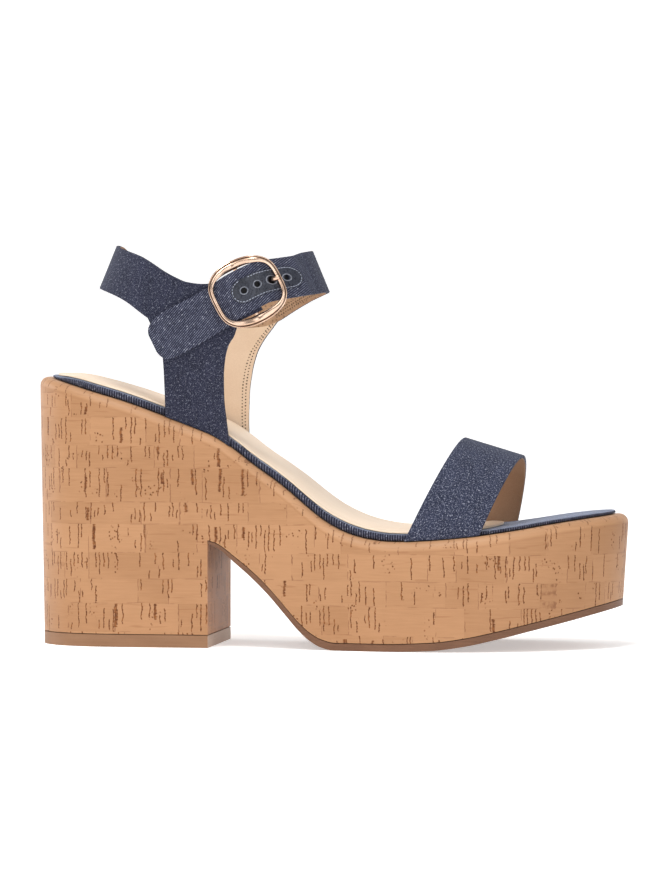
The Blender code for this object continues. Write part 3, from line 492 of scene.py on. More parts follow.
def settle(piece: Piece) -> Piece:
    """Applies a piece's modifiers.

    Args:
        piece: object with live modifiers.

    Returns:
        The same object with a plain mesh.
    """
    bpy.context.view_layer.update()
    depsgraph = bpy.context.evaluated_depsgraph_get()
    mesh = bpy.data.meshes.new_from_object(
        piece.evaluated_get(depsgraph), preserve_all_data_layers=True, depsgraph=depsgraph
    )
    piece.modifiers.clear()
    piece.data = mesh
    mesh.name = piece.name
    return piece


def carve(piece: Piece, tool: Piece, operation: str = "DIFFERENCE") -> None:
    """Exact Boolean of a piece with a tool, which is removed.

    Args:
        piece: object that is cut.
        tool: closed object.
        operation: DIFFERENCE or INTERSECT.
    """
    modifier = piece.modifiers.new("Carve", "BOOLEAN")
    modifier.operation = operation
    modifier.solver = "EXACT"
    modifier.object = tool
    settle(piece)
    bpy.data.objects.remove(tool)


def smooth(piece: Piece, sharp_degrees: float = 40.0) -> None:
    """Smooth shading between edges sharper than an angle."""
    piece.data.shade_smooth()
    piece.data.set_sharp_from_angle(angle=math.radians(sharp_degrees))


def prism(
    name: str, near: Sequence[Sequence[float]], far: Sequence[Sequence[float]]
) -> Piece:
    """Closed prism between two outlines.

    Args:
        name: name of the object.
        near: corners of one end.
        far: corners of the other end, in the same order.

    Returns:
        The prism.
    """
    count = len(near)
    faces = [tuple(range(count)), tuple(range(count, 2 * count))]
    faces += [(i, (i + 1) % count, count + (i + 1) % count, count + i) for i in range(count)]
    return mesh_object(name, np.array([*near, *far]), faces)


def side_prism(name: str, points: Rows, reach: float) -> Piece:
    """Prism across the shoe, with an outline of X and Z and half of its width."""
    return prism(name, [(x, -reach, z) for x, z in points], [(x, reach, z) for x, z in points])


def set_uv(mesh: bpy.types.Mesh, values: Array) -> None:
    """Writes the map named wrap, in metres.

    Args:
        mesh: mesh that gets the map.
        values: a pair for each face corner.
    """
    layer = mesh.uv_layers.get("wrap") or mesh.uv_layers.new(name="wrap")
    layer.data.foreach_set("uv", np.asarray(values, np.float32).ravel())


class Sheet:
    """Node tree with short calls that add and feed its nodes."""

    def __init__(self, tree: bpy.types.NodeTree) -> None:
        """Takes the tree that is written."""
        self.tree = tree

    def feed(self, socket: Socket, value: object) -> None:
        """Links a socket to another one, or sets its value.

        Args:
            socket: socket that takes it.
            value: socket, number, vector or colour.
        """
        if isinstance(value, Socket):
            self.tree.links.new(value, socket)
        elif isinstance(value, tuple) and len(value) == 3 and socket.type == "RGBA":
            socket.default_value = (*value, 1.0)
        else:
            socket.default_value = value

    def node(self, kind: str, feeds: object = (), **settings: object) -> bpy.types.Node:
        """Adds a node.

        Args:
            kind: Blender's name of the node's type.
            feeds: values or sockets for its inputs, in their order or in a dictionary.
            settings: its properties.

        Returns:
            The node.
        """
        made = self.tree.nodes.new(kind)
        for key, value in settings.items():
            setattr(made, key, value)
        for key, value in feeds.items() if isinstance(feeds, dict) else enumerate(feeds):
            self.feed(made.inputs[key], value)
        return made


class Board(Sheet):
    """Node tree of one material."""

    def __init__(self, name: str) -> None:
        """Starts a Principled material of that name.

        Args:
            name: name of the material.
        """
        self.material = bpy.data.materials.new(name)
        self.material.use_nodes = True
        super().__init__(self.material.node_tree)
        self.shader = self.tree.nodes["Principled BSDF"]

    def math(self, operation: str, *numbers: object) -> Socket:
        """Arithmetic on numbers or sockets, by Blender's name of the operation."""
        return self.node("ShaderNodeMath", numbers, operation=operation).outputs[0]

    def total(self, *terms: object) -> Socket:
        """Sum of several numbers or sockets.

        Args:
            terms: the numbers or sockets.

        Returns:
            Socket of the sum.
        """
        result = terms[0]
        for term in terms[1:]:
            result = self.math("ADD", result, term)
        return result

    def times(self, a: object, b: object) -> Socket:
        """Product of two numbers or sockets."""
        return self.math("MULTIPLY", a, b)

    def step(self, value: object, low: float, high: float) -> Socket:
        """Smooth step of a value from 0 at low to 1 at high."""
        feeds = (value, low, high, 0.0, 1.0)
        return self.node("ShaderNodeMapRange", feeds, interpolation_type="SMOOTHSTEP").outputs[0]

    def fall(self, value: object, low: float, high: float) -> Socket:
        """Smooth step of a value from 1 at low to 0 at high."""
        return self.math("SUBTRACT", 1.0, self.step(value, low, high))

    def mix(self, share: object, a: object, b: object) -> Socket:
        """Blend of two colours, by how much of the second one shows."""
        return self.node("ShaderNodeMix", {0: share, 6: a, 7: b}, data_type="RGBA").outputs[2]

    def point(self, x: object, y: object, z: object = 0.0) -> Socket:
        """Vector of three numbers or sockets."""
        return self.node("ShaderNodeCombineXYZ", (x, y, z)).outputs[0]

    def wrap(self) -> tuple[Socket, Socket]:
        """The two coordinates of the piece's own map, in metres.

        Returns:
            Sockets of the first and the second coordinate.
        """
        place = self.node("ShaderNodeUVMap", uv_map="wrap").outputs[0]
        ways = self.node("ShaderNodeSeparateXYZ", (place,)).outputs
        return ways[0], ways[1]

    def place(self) -> Socket:
        """Object coordinates, in metres."""
        return self.node("ShaderNodeTexCoord").outputs["Object"]

    def noise(
        self, vector: object, scale: float = 1.0, detail: float = 2.0, rough: float = 0.5
    ) -> Socket:
        """Value of a noise texture.

        Args:
            vector: where it is read.
            scale: its fineness.
            detail: number of octaves.
            rough: share of each next octave.

        Returns:
            The socket of a number near 0.5.
        """
        feeds = {"Vector": vector, "Scale": scale, "Detail": detail, "Roughness": rough}
        return self.node("ShaderNodeTexNoise", feeds).outputs[0]

    def streaks(
        self,
        ways: Sequence[Socket],
        fine: Sequence[float],
        third: object = 0.0,
        detail: float = 2.0,
        rough: float = 0.5,
    ) -> Socket:
        """Value of a noise with its own fineness along each of two ways.

        Args:
            ways: sockets of the two ways.
            fine: fineness along each of them.
            third: third coordinate, which sets noises apart.
            detail: number of octaves.
            rough: share of each next octave.

        Returns:
            The socket of a number near 0.5.
        """
        first, second = (self.times(way, number) for way, number in zip(ways, fine))
        return self.noise(self.point(first, second, third), detail=detail, rough=rough)

    def random(self, vector: object) -> Socket:
        """Random number of a cell."""
        feeds = {"Vector": vector}
        return self.node("ShaderNodeTexWhiteNoise", feeds, noise_dimensions="3D").outputs["Value"]

    def cells(self, vector: object, scale: float = 1.0, planar: bool = True) -> Socket:
        """Distance to the nearest seed of scattered cells.

        Args:
            vector: where it is read.
            scale: its fineness.
            planar: whether only the first two coordinates count.

        Returns:
            The distance's socket.
        """
        feeds = {"Vector": vector, "Scale": scale}
        flat = "2D" if planar else "3D"
        return self.node("ShaderNodeTexVoronoi", feeds, voronoi_dimensions=flat).outputs["Distance"]

    def bump(self, height: object, strength: float, distance: float) -> None:
        """Raises the surface by a height, in metres at distance for a height of 1."""
        feeds = {"Strength": strength, "Distance": distance, "Height": height}
        self.feed(self.shader.inputs["Normal"], self.node("ShaderNodeBump", feeds).outputs[0])

    def dress(self, colour: object, rough: object, **settings: object) -> None:
        """Gives the shader its colour and roughness.

        Args:
            colour: base colour or its socket.
            rough: roughness or its socket.
            settings: values of further shader sockets, with _ for each space of their names.
        """
        self.feed(self.shader.inputs["Base Color"], colour)
        self.feed(self.shader.inputs["Roughness"], rough)
        for key, value in settings.items():
            self.feed(self.shader.inputs[key.replace("_", " ")], value)


@dataclass(frozen=True)
class Finish:
    """Procedural look of a surface."""

    def make(self, name: str) -> Material:
        """Builds the material of that name.

        Args:
            name: name of the material.

        Returns:
            The material.
        """
        b = Board(name)
        self.paint(b)
        return b.material

    def paint(self, b: Board) -> None:
        """Lays the look's nodes on a board."""
        raise NotImplementedError


@dataclass(frozen=True)
class CorkFinish(Finish):
    """Cork veneer: courses of blocks with fine growth lines and dark upright flecks, with a painted
    highlight on the rolled top edge and painted shade at its foot.
    """

    light: Colour = (0.478, 0.252, 0.124)
    dark: Colour = (0.362, 0.178, 0.079)
    fleck: Colour = (0.110, 0.030, 0.006)
    halo: Colour = (0.255, 0.088, 0.022)
    course: float = 0.0106
    block: float = 0.021
    rolled: float = 0.0036

    def paint(self, b: Board) -> None:
        """Lays the look's nodes on a board.

        Args:
            b: board of the material's nodes.
        """
        u, v = b.wrap()
        waver = b.streaks((u, v), (90.0, 40.0), detail=1.0)
        uneven = b.noise(b.point(3.1, b.times(v, 75.0)), detail=0.0)
        v_wavy = b.math("MULTIPLY_ADD", waver, 0.0010, b.math("MULTIPLY_ADD", uneven, 0.006, v))
        rows = b.math("DIVIDE", v_wavy, self.course)
        row = b.math("FLOOR", rows)
        row_seed = b.random(b.point(row, 3.7, 1.3))
        u_row = b.math("MULTIPLY_ADD", row_seed, 0.37, u)
        warp = b.streaks((u_row, row), (38.0, 5.0), detail=0.0)
        blocks = b.math("MULTIPLY_ADD", warp, 1.9, b.math("DIVIDE", u_row, self.block))
        block = b.math("FLOOR", blocks)
        tone = b.random(b.point(block, row, 9.1))
        broad = b.streaks((u, v), (24.0, 34.0), detail=3.0, rough=0.6)
        streaks = b.streaks((u, v), (85.0, 1300.0), b.times(block, 2.3), detail=3.0, rough=0.6)
        shade = b.total(
            b.times(tone, 0.26), b.times(broad, 0.75), b.times(streaks, 0.55), -0.30
        )
        colour = b.mix(b.step(shade, 0.05, 0.95), self.dark, self.light)

        lines = b.streaks((u, v), (62.0, 640.0), b.times(block, 4.1), detail=1.0)
        thin = b.step(lines, 0.66, 0.74)
        colour = b.mix(b.times(thin, 0.42), colour, (0.30, 0.125, 0.05))

        broken = b.streaks((u, row), (130.0, 3.1), detail=3.0)
        in_row = b.math("FRACT", rows)
        course_line = b.fall(in_row, 0.015, 0.055)
        course_line = b.times(course_line, b.step(broken, 0.50, 0.60))
        jag = b.streaks((u, v), (700.0, 520.0), detail=2.0)
        in_block = b.math("FRACT", b.math("MULTIPLY_ADD", jag, 0.06, blocks))
        block_line = b.fall(in_block, 0.010, 0.030)
        upright = b.streaks((block, v), (3.3, 240.0), detail=2.0)
        block_line = b.times(block_line, b.step(upright, 0.42, 0.52))
        joints = b.math("MAXIMUM", b.times(course_line, 0.42), b.times(block_line, 0.75))
        colour = b.mix(joints, colour, (0.22, 0.085, 0.035))

        bead = b.streaks((u, v), (500.0, 1500.0), detail=2.0)
        sway = b.streaks((u, v), (110.0, 330.0), 5.0, detail=2.0)
        u_jag = b.math("MULTIPLY_ADD", bead, 0.0004, b.math("MULTIPLY_ADD", sway, 0.0016, u))
        places = (u_jag, row, in_row, bead)
        crowd = b.streaks((u, row), (80.0, 2.7), 4.0, detail=1.0)
        crowd = b.step(crowd, 0.26, 0.62)
        marks = b.math(
            "MAXIMUM",
            self.strokes(b, places, 0.0019, 0.00026, b.times(crowd, 0.72), 11.0),
            self.strokes(b, places, 0.0130, 0.00048, 0.20, 23.0),
        )
        crumbs = b.cells(b.point(b.times(u_jag, 620.0), b.times(v, 560.0)))
        crumbs = b.fall(crumbs, 0.14, 0.26)
        scatter = b.streaks((u, v), (130.0, 100.0), 7.0, detail=2.0)
        marks = b.math("MAXIMUM", marks, b.times(crumbs, b.step(scatter, 0.61, 0.67)))
        depth = b.streaks((u, v), (900.0, 700.0), 2.0, detail=1.0)
        mark_colour = b.mix(b.step(depth, 0.35, 0.75), self.fleck, self.halo)
        colour = b.mix(marks, colour, mark_colour)

        # The lighter band over the rolled top edge is a painted highlight; the darker line at its
        # foot is painted shade.
        drop = b.node("ShaderNodeAttribute", attribute_name="edge_drop").outputs["Fac"]
        band = b.fall(drop, self.rolled - 0.0008, self.rolled + 0.0004)
        colour = b.mix(b.times(band, 0.22), colour, (0.66, 0.39, 0.22))
        near_line = b.math("ABSOLUTE", b.math("SUBTRACT", drop, self.rolled + 0.0006))
        fold_shade = b.fall(near_line, 0.0001, 0.0005)
        colour = b.mix(b.times(fold_shade, 0.28), colour, (0.36, 0.17, 0.08))

        height = b.math("MULTIPLY_ADD", marks, -1.0, b.times(streaks, 0.22))
        height = b.math("MULTIPLY_ADD", joints, -0.5, height)
        b.bump(height, 0.5, 0.00016)
        rough = b.math("MULTIPLY_ADD", marks, 0.2, b.math("MULTIPLY_ADD", streaks, 0.16, 0.45))
        b.dress(colour, rough, Specular_IOR_Level=0.35, Sheen_Weight=0.08, Sheen_Roughness=0.3)

    @staticmethod
    def strokes(
        b: Board,
        places: Sequence[Socket],
        pitch: float,
        half: float,
        share: object,
        seed: float,
    ) -> Socket:
        """Upright beaded strokes, at most one in each narrow cell of a course.

        Args:
            b: node tree of the material.
            places: way round the shoe, number of the course, place in it and a fine noise.
            pitch: width of a cell.
            half: greatest half width of a stroke.
            share: share of the cells that has one.
            seed: number that sets this layer apart.

        Returns:
            The socket of a number that is 1 in the strokes.
        """
        u, row, in_row, bead = places
        cells = b.math("DIVIDE", u, pitch)
        cell = b.math("FLOOR", cells)
        chance, shift, low, long = (
            b.random(b.point(cell, row, seed + number)) for number in range(4)
        )
        middle = b.math("MULTIPLY_ADD", shift, 0.5, 0.25)
        away = b.math("ABSOLUTE", b.math("SUBTRACT", b.math("FRACT", cells), middle))
        width = b.times(b.math("MULTIPLY_ADD", bead, 2.6, -0.55), half / pitch)
        inside = b.fall(b.math("SUBTRACT", away, width), -0.02, 0.04)
        low = b.times(low, 0.6)
        high = b.math("ADD", low, b.math("MULTIPLY_ADD", long, 0.8, 0.25))
        ends = b.times(b.math("GREATER_THAN", in_row, low), b.math("LESS_THAN", in_row, high))
        return b.times(b.times(inside, ends), b.math("LESS_THAN", chance, share))


@dataclass(frozen=True)
class DenimFinish(Finish):
    """Indigo denim: dark warp, with the pale weft showing as its weave has it."""

    warp: Colour = (0.007, 0.008, 0.020)
    fade: Colour = (0.025, 0.027, 0.053)
    weft: Colour = (0.32, 0.34, 0.45)
    wale: float = 0.00052
    dash: float = 0.00052
    lean: float = math.radians(62.0)
    weave: Weave = Weave.SPECKLED
    pale_share: float = 1.0
    sheen: float = 0.08

    def paint(self, b: Board) -> None:
        """Lays the look's nodes on a board.

        Args:
            b: board of the material's nodes.
        """
        u, v = b.wrap()
        sway = b.streaks((u, v), (55.0, 55.0), detail=1.0)
        u = b.math("MULTIPLY_ADD", sway, 0.0006, u)
        lean_cos, lean_sin = math.cos(self.lean), math.sin(self.lean)
        length = b.math("ADD", b.times(u, lean_cos), b.times(v, lean_sin))
        across = b.math("SUBTRACT", b.times(v, lean_cos), b.times(u, lean_sin))
        wales = b.math("DIVIDE", across, self.wale)
        wale_index = b.math("FLOOR", wales)
        stagger = b.times(b.random(b.point(wale_index, 1.0, 5.0)), 7.0)
        dashes = b.math("ADD", b.math("DIVIDE", length, self.dash), stagger)
        dash_index = b.math("FLOOR", dashes)
        yarn = b.random(b.point(wale_index, dash_index, 2.0))
        ridge = b.math("SINE", b.times(b.math("FRACT", wales), math.pi))
        bead = b.math("SINE", b.times(b.math("FRACT", dashes), math.pi))
        cloudy = b.streaks((u, v), (130.0, 90.0), detail=4.0, rough=0.6)
        slub = b.streaks((u, v), (1400.0, 130.0), 3.0, detail=2.0)
        tone = b.total(b.times(cloudy, 0.9), b.times(slub, 0.6), b.times(ridge, 0.35), -0.55)
        colour = b.mix(b.step(tone, 0.0, 0.9), self.warp, self.fade)
        if self.weave is Weave.SPECKLED:
            dots = b.cells(b.point(b.math("DIVIDE", length, self.dash), wales))
            lifted = b.fall(dots, 0.12, 0.42)
            yarn = b.streaks((u, v), (1000.0, 1000.0), 5.0, detail=1.0)
            yarn = b.step(yarn, 0.36, 0.66)
        elif self.weave is Weave.TWILL:
            lifted = b.times(b.step(ridge, 0.55, 0.98), b.math("MULTIPLY_ADD", bead, 0.80, 0.20))
        else:
            lifted = b.step(ridge, 0.72, 0.98)
        speck = b.times(lifted, b.math("MULTIPLY_ADD", yarn, 0.75, 0.25))
        colour = b.mix(b.times(speck, 0.50 * self.pale_share), colour, self.weft)
        bright = b.times(lifted, b.step(yarn, 0.93, 0.97))
        colour = b.mix(b.times(bright, 0.30 * self.pale_share), colour, (0.60, 0.62, 0.72))
        height = b.total(b.times(ridge, 0.8), b.times(bead, 0.3), b.times(slub, 0.5))
        b.bump(height, 0.55, 0.00022)
        rough = b.math("MULTIPLY_ADD", cloudy, 0.12, 0.78)
        b.dress(
            colour,
            rough,
            Sheen_Weight=self.sheen,
            Sheen_Roughness=0.5,
            Sheen_Tint=(0.62, 0.68, 0.85),
            Specular_IOR_Level=0.18,
        )


@dataclass(frozen=True)
class LeatherFinish(Finish):
    """Smooth leather with fine pores, clouds of tone and, where asked, folds or specks."""

    light: Colour
    dark: Colour
    rough: float = 0.5
    pores: float = 2600.0
    depth: float = 0.00008
    folds: float = 0.0
    specks: float = 0.0

    def paint(self, b: Board) -> None:
        """Lays the look's nodes on a board.

        Args:
            b: board of the material's nodes.
        """
        place = b.place()
        clouds = b.noise(place, 60.0, 4.0, 0.6)
        pores = b.cells(place, self.pores, planar=False)
        grain = b.noise(place, self.pores / 2, 3.0, 0.6)
        tone = b.total(b.times(clouds, 0.8), b.times(pores, 0.35), b.times(grain, 0.35), -0.35)
        colour = b.mix(b.step(tone, 0.0, 0.8), self.dark, self.light)
        if self.specks:
            dots = b.fall(b.cells(place, 750.0, planar=False), 0.2, 0.4)
            colour = b.mix(b.times(dots, self.specks), colour, (0.10, 0.05, 0.022))
        height = b.total(b.times(pores, 0.6), b.times(grain, 0.6), b.times(clouds, self.folds))
        b.bump(height, 0.4, self.depth)
        rough = b.math("MULTIPLY_ADD", grain, 0.18, self.rough)
        b.dress(colour, rough, Specular_IOR_Level=0.4)


@dataclass(frozen=True)
class SoleFinish(Finish):
    """Moulded sole material with faint layers along its edge and fine grit."""

    light: Colour
    dark: Colour
    rough: float = 0.5

    def paint(self, b: Board) -> None:
        """Lays the look's nodes on a board.

        Args:
            b: board of the material's nodes.
        """
        u, v = b.wrap()
        layers = b.streaks((u, v), (30.0, 2400.0), detail=3.0)
        clouds = b.streaks((u, v), (70.0, 160.0), 4.0, detail=4.0)
        grit = b.noise(b.place(), 2400.0, 2.0, 0.6)
        tone = b.total(b.times(layers, 0.5), b.times(clouds, 0.6), b.times(grit, 0.3), -0.2)
        colour = b.mix(b.step(tone, 0.1, 0.9), self.dark, self.light)
        b.bump(b.math("ADD", b.times(layers, 0.6), b.times(grit, 0.5)), 0.35, 0.0001)
        rough = b.math("MULTIPLY_ADD", grit, 0.25, self.rough)
        b.dress(colour, rough, Specular_IOR_Level=0.4)


@dataclass(frozen=True)
class GoldFinish(Finish):
    """Rose-gold plate with a fine grain, faint rubbed spots and a groove darkened with painted
    shade.
    """

    bright: Colour = (0.78, 0.57, 0.44)
    worn: Colour = (0.58, 0.39, 0.28)
    groove_shade: Colour = (0.07, 0.03, 0.015)

    def paint(self, b: Board) -> None:
        """Lays the look's nodes on a board.

        Args:
            b: board of the material's nodes.
        """
        place = b.place()
        rubbed = b.noise(place, 160.0, 3.0, 0.5)
        fine = b.noise(place, 5200.0, 2.0, 0.6)
        colour = b.mix(b.step(rubbed, 0.35, 0.75), self.bright, self.worn)
        # Painted shade: the groove is darkened towards a near-black brown where it is deepest.
        deep = b.node("ShaderNodeAttribute", attribute_name="groove").outputs["Fac"]
        colour = b.mix(b.times(b.step(deep, 0.25, 0.85), 0.9), colour, self.groove_shade)
        b.bump(fine, 0.02, 0.00001)
        rough = b.math("MULTIPLY_ADD", deep, 0.3, b.math("MULTIPLY_ADD", rubbed, 0.08, 0.17))
        b.dress(colour, rough, Metallic=1.0)


@dataclass(frozen=True)
class ThreadFinish(Finish):
    """Twisted thread, dull and uneven, also for needle marks and the painted shade that fills the
    depth of holes.
    """

    colour: Colour
    shadow: Colour

    def paint(self, b: Board) -> None:
        """Lays the look's nodes on a board.

        Args:
            b: board of the material's nodes.
        """
        twist = b.noise(b.place(), 3600.0, 2.0, 0.5)
        colour = b.mix(b.step(twist, 0.3, 0.7), self.shadow, self.colour)
        b.bump(twist, 0.4, 0.00006)
        rough = b.math("MULTIPLY_ADD", twist, 0.2, 0.6)
        b.dress(colour, rough, Sheen_Weight=0.2)


class Wardrobe:
    """All finishes of the shoe, made once."""

    def __init__(self) -> None:
        """Builds the materials."""
        self.cork = CorkFinish().make("cork_veneer")
        # Darker, redder copy of the cork for the heel's breast face: a redder tone of its own
        # together with painted shade for the face turned away from the lights.
        breast = CorkFinish(light=(0.48, 0.190, 0.048), dark=(0.35, 0.13, 0.032))
        self.breast = breast.make("cork_breast_painted_shade")
        self.denim = DenimFinish(wale=0.00046, dash=0.00046, pale_share=0.78).make("denim_twill")
        self.strap_denim = DenimFinish(
            wale=0.00076,
            dash=0.00080,
            lean=math.radians(21.0),
            weave=Weave.TWILL,
            pale_share=1.2,
        ).make("denim_twill_strap")
        self.vamp_denim = DenimFinish(
            warp=(0.012, 0.015, 0.032),
            fade=(0.040, 0.047, 0.086),
            wale=0.00055,
            dash=0.00085,
            lean=math.radians(56.0),
            pale_share=1.2,
        ).make("denim_twill_vamp")
        rand = DenimFinish(
            fade=(0.030, 0.032, 0.058), wale=0.00104, lean=math.pi / 2, weave=Weave.RIBBED
        )
        self.rand_denim = rand.make("denim_rand")
        # Lighter, bluer denim for the insole's top faces: painted highlight, on top of its strong
        # sheen.
        self.insole_denim = DenimFinish(fade=(0.120, 0.160, 0.260), sheen=1.0).make("denim_insole")
        self.lining = LeatherFinish((0.75, 0.570, 0.410), (0.66, 0.475, 0.325)).make("tan_lining")
        self.band_lining = LeatherFinish(
            (0.48, 0.30, 0.180), (0.26, 0.150, 0.085), 0.55, 1500.0, 0.00015, specks=0.6
        ).make("brown_band_lining")
        # Lining of the vamp strap, much darker than the tan lining: painted shade inside the strap.
        shaded_vamp_lining = LeatherFinish((0.46, 0.285, 0.18), (0.36, 0.21, 0.125))
        self.shaded_vamp_lining = shaded_vamp_lining.make("vamp_lining_painted_shade")
        self.sock = LeatherFinish((0.88, 0.72, 0.56), (0.80, 0.63, 0.47), 0.42).make("peach_sock")
        self.patch = LeatherFinish(
            (0.045, 0.050, 0.070), (0.004, 0.005, 0.009), 0.20, 1500.0, 0.00030, folds=9.0
        ).make("navy_hole_patch")
        # Hole rims lighter than the patch: painted highlight on the raised rims.
        rim = LeatherFinish((0.24, 0.255, 0.30), (0.09, 0.095, 0.12), 0.18, 1500.0)
        self.rim = rim.make("navy_hole_rim_painted_highlight")
        outsole = SoleFinish((0.205, 0.097, 0.051), (0.114, 0.049, 0.023), 0.42)
        self.outsole = outsole.make("reddish_outsole")
        lift = SoleFinish((0.302, 0.161, 0.085), (0.225, 0.113, 0.056))
        self.lift = lift.make("tan_top_lift")
        lift_front = SoleFinish((0.58, 0.425, 0.33), (0.43, 0.305, 0.234))
        self.lift_front = lift_front.make("pale_lift_front")
        self.gold = GoldFinish().make("rose_gold")
        self.pale_thread = ThreadFinish((0.42, 0.45, 0.55), (0.20, 0.22, 0.30)).make("pale_thread")
        needle_mark = ThreadFinish((0.085, 0.045, 0.02), (0.04, 0.02, 0.01))
        self.needle_mark = needle_mark.make("needle_mark")
        # Near-black finish for the discs that close each hole: painted shade in the hole's depth.
        painted_hole_shade = ThreadFinish((0.008, 0.008, 0.010), (0.003, 0.003, 0.004))
        self.painted_hole_shade = painted_hole_shade.make("painted_hole_shade")


def dress(piece: Piece, materials: Sequence[Material]) -> None:
    """Gives a piece its materials, in the order of their slots.

    Args:
        piece: piece to dress.
        materials: one material for each slot.
    """
    indices = np.zeros(len(piece.data.polygons), np.int32)
    piece.data.polygons.foreach_get("material_index", indices)
    piece.data.materials.clear()
    for material in materials:
        piece.data.materials.append(material)
    piece.data.polygons.foreach_set("material_index", np.minimum(indices, len(materials) - 1))
    piece.data.update()


def hand_over(piece: Piece, nodes: Sequence[str] = ()) -> None:
    """Fixes a finished piece to the shoe.

    Args:
        piece: the piece.
        nodes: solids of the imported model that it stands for.
    """
    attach(piece, "root")
    if nodes:
        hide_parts(*nodes)
    log.info("%s: %d faces", piece.name, len(piece.data.polygons))


@dataclass
class CorkPlatform:
    """Cork-covered platform and heel, with its outsole and the heel's top lift."""

    form: ShoeForm
    block_depth: float = 0.005
    rounding_steps: int = 9
    top_inset: float = 0.010

    def block(self, name: str) -> Piece:
        """Solid with the platform's outside and top, running on below the floor.

        Args:
            name: name of the object.

        Returns:
            The closed solid.
        """
        form = self.form
        ring = form.outline()
        share = form.share(ring[:, 0])
        heel_reach = (form.heel_height + self.block_depth) / form.heel_height
        toe_reach = (form.platform_height + self.block_depth) / form.platform_height
        low = ring.copy()
        low[:, 0] += form.heel_taper * heel_reach * (1 - share)
        low[:, 0] -= form.toe_undercut * toe_reach * share
        low[:, 1] *= 1 - 2 * form.side_taper / form.ball_width
        rings = [np.column_stack((low, np.full(len(low), -self.block_depth)))]
        for inset, drop in form.rounding(form.edge_radius, self.rounding_steps):
            rings.append(form.ring(inset, -drop))
        rings.append(form.ring(self.top_inset))
        return stacked(name, rings)

    def map_wrap(self, piece: Piece) -> None:
        """Writes the map round the shoe: arc length and height on the sides, plan elsewhere.

        Args:
            piece: piece cut from the block.
        """
        form, mesh = self.form, piece.data
        points = np.array([vertex.co for vertex in mesh.vertices])
        ring = form.outline()
        start, end = ring, np.roll(ring, -1, axis=0)
        edge = end - start
        lengths = np.linalg.norm(edge, axis=1)
        before = travel(np.vstack((ring, ring[:1])))
        offset = points[:, None, :2] - start[None]
        t = np.clip((offset * edge).sum(axis=2) / (lengths ** 2), 0.0, 1.0)
        gap = np.linalg.norm(offset - edge * t[:, :, None], axis=2)
        nearest = gap.argmin(axis=1)
        rows = np.arange(len(points))
        arc = before[nearest] + lengths[nearest] * t[rows, nearest]
        inset = gap[rows, nearest]
        drop = np.maximum(0.0, form.top(points[:, 0]) - points[:, 2])
        mesh.attributes.new("edge_drop", "FLOAT", "POINT").data.foreach_set(
            "value", drop.astype(np.float32)
        )
        values = np.zeros((len(mesh.loops), 2))
        for polygon in mesh.polygons:
            corners = np.array([mesh.loops[i].vertex_index for i in polygon.loop_indices])
            where = points[corners]
            normal = polygon.normal
            if normal.x > 0.9 and abs(where[:, 0] - form.breast).max() < 0.001:
                pair = where[:, 1:]
                polygon.material_index = 1
            elif normal.z < -0.25:
                pair = where[:, :2]
            else:
                round_shoe = arc[corners].copy()
                if np.ptp(round_shoe) > before[-1] / 2:
                    round_shoe[round_shoe < before[-1] / 2] += before[-1]
                pair = np.column_stack((round_shoe, where[:, 2] + inset[corners]))
            values[list(polygon.loop_indices)] = pair
        set_uv(mesh, values)

    def build(self, wardrobe: Wardrobe) -> None:
        """Builds and dresses the platform, the outsole and the top lift.

        Args:
            wardrobe: materials of the shoe.
        """
        form = self.form
        low, high = form.sole_curves()
        reach, far = form.ball_width, form.length
        below = -2 * self.block_depth
        lift_top = form.lift_thickness + form.clearance
        profile = [(-far, below), (-far, lift_top), (form.breast, lift_top)]
        profile += [(x, z + form.clearance) for x, z in high]
        profile += [(far, high[-1][1] + form.clearance), (far, below)]
        platform = self.block("cork_platform")
        carve(platform, side_prism("below_platform", profile, reach))

        outsole = self.block("moulded_outsole")
        strip = [tuple(p) for p in low] + [tuple(p) for p in high[::-1]]
        strip[0] = (strip[0][0] + form.clearance, strip[0][1])
        strip[-1] = (strip[-1][0] + form.clearance, strip[-1][1])
        carve(outsole, side_prism("outsole_strip", strip, reach), "INTERSECT")

        lift = self.block("heel_lift")
        slab = [(-far, 0.0), (form.breast, 0.0), (form.breast, form.lift_thickness)]
        slab.append((-far, form.lift_thickness))
        carve(lift, side_prism("lift_slab", slab, reach), "INTERSECT")

        # The platform's breast faces take the darker cork copy with painted shade.
        finishes = (
            (platform, [wardrobe.cork, wardrobe.breast], "cork_cover", "platform"),
            (outsole, [wardrobe.outsole, wardrobe.outsole], "outsole_leather", "outsole"),
            (lift, [wardrobe.lift, wardrobe.lift_front], "top_lift_rubber", "heel_top_lift"),
        )
        for piece, materials, slot, node in finishes:
            self.map_wrap(piece)
            dress(piece, materials)
            smooth(piece, 35.0)
            hand_over(piece, [node])


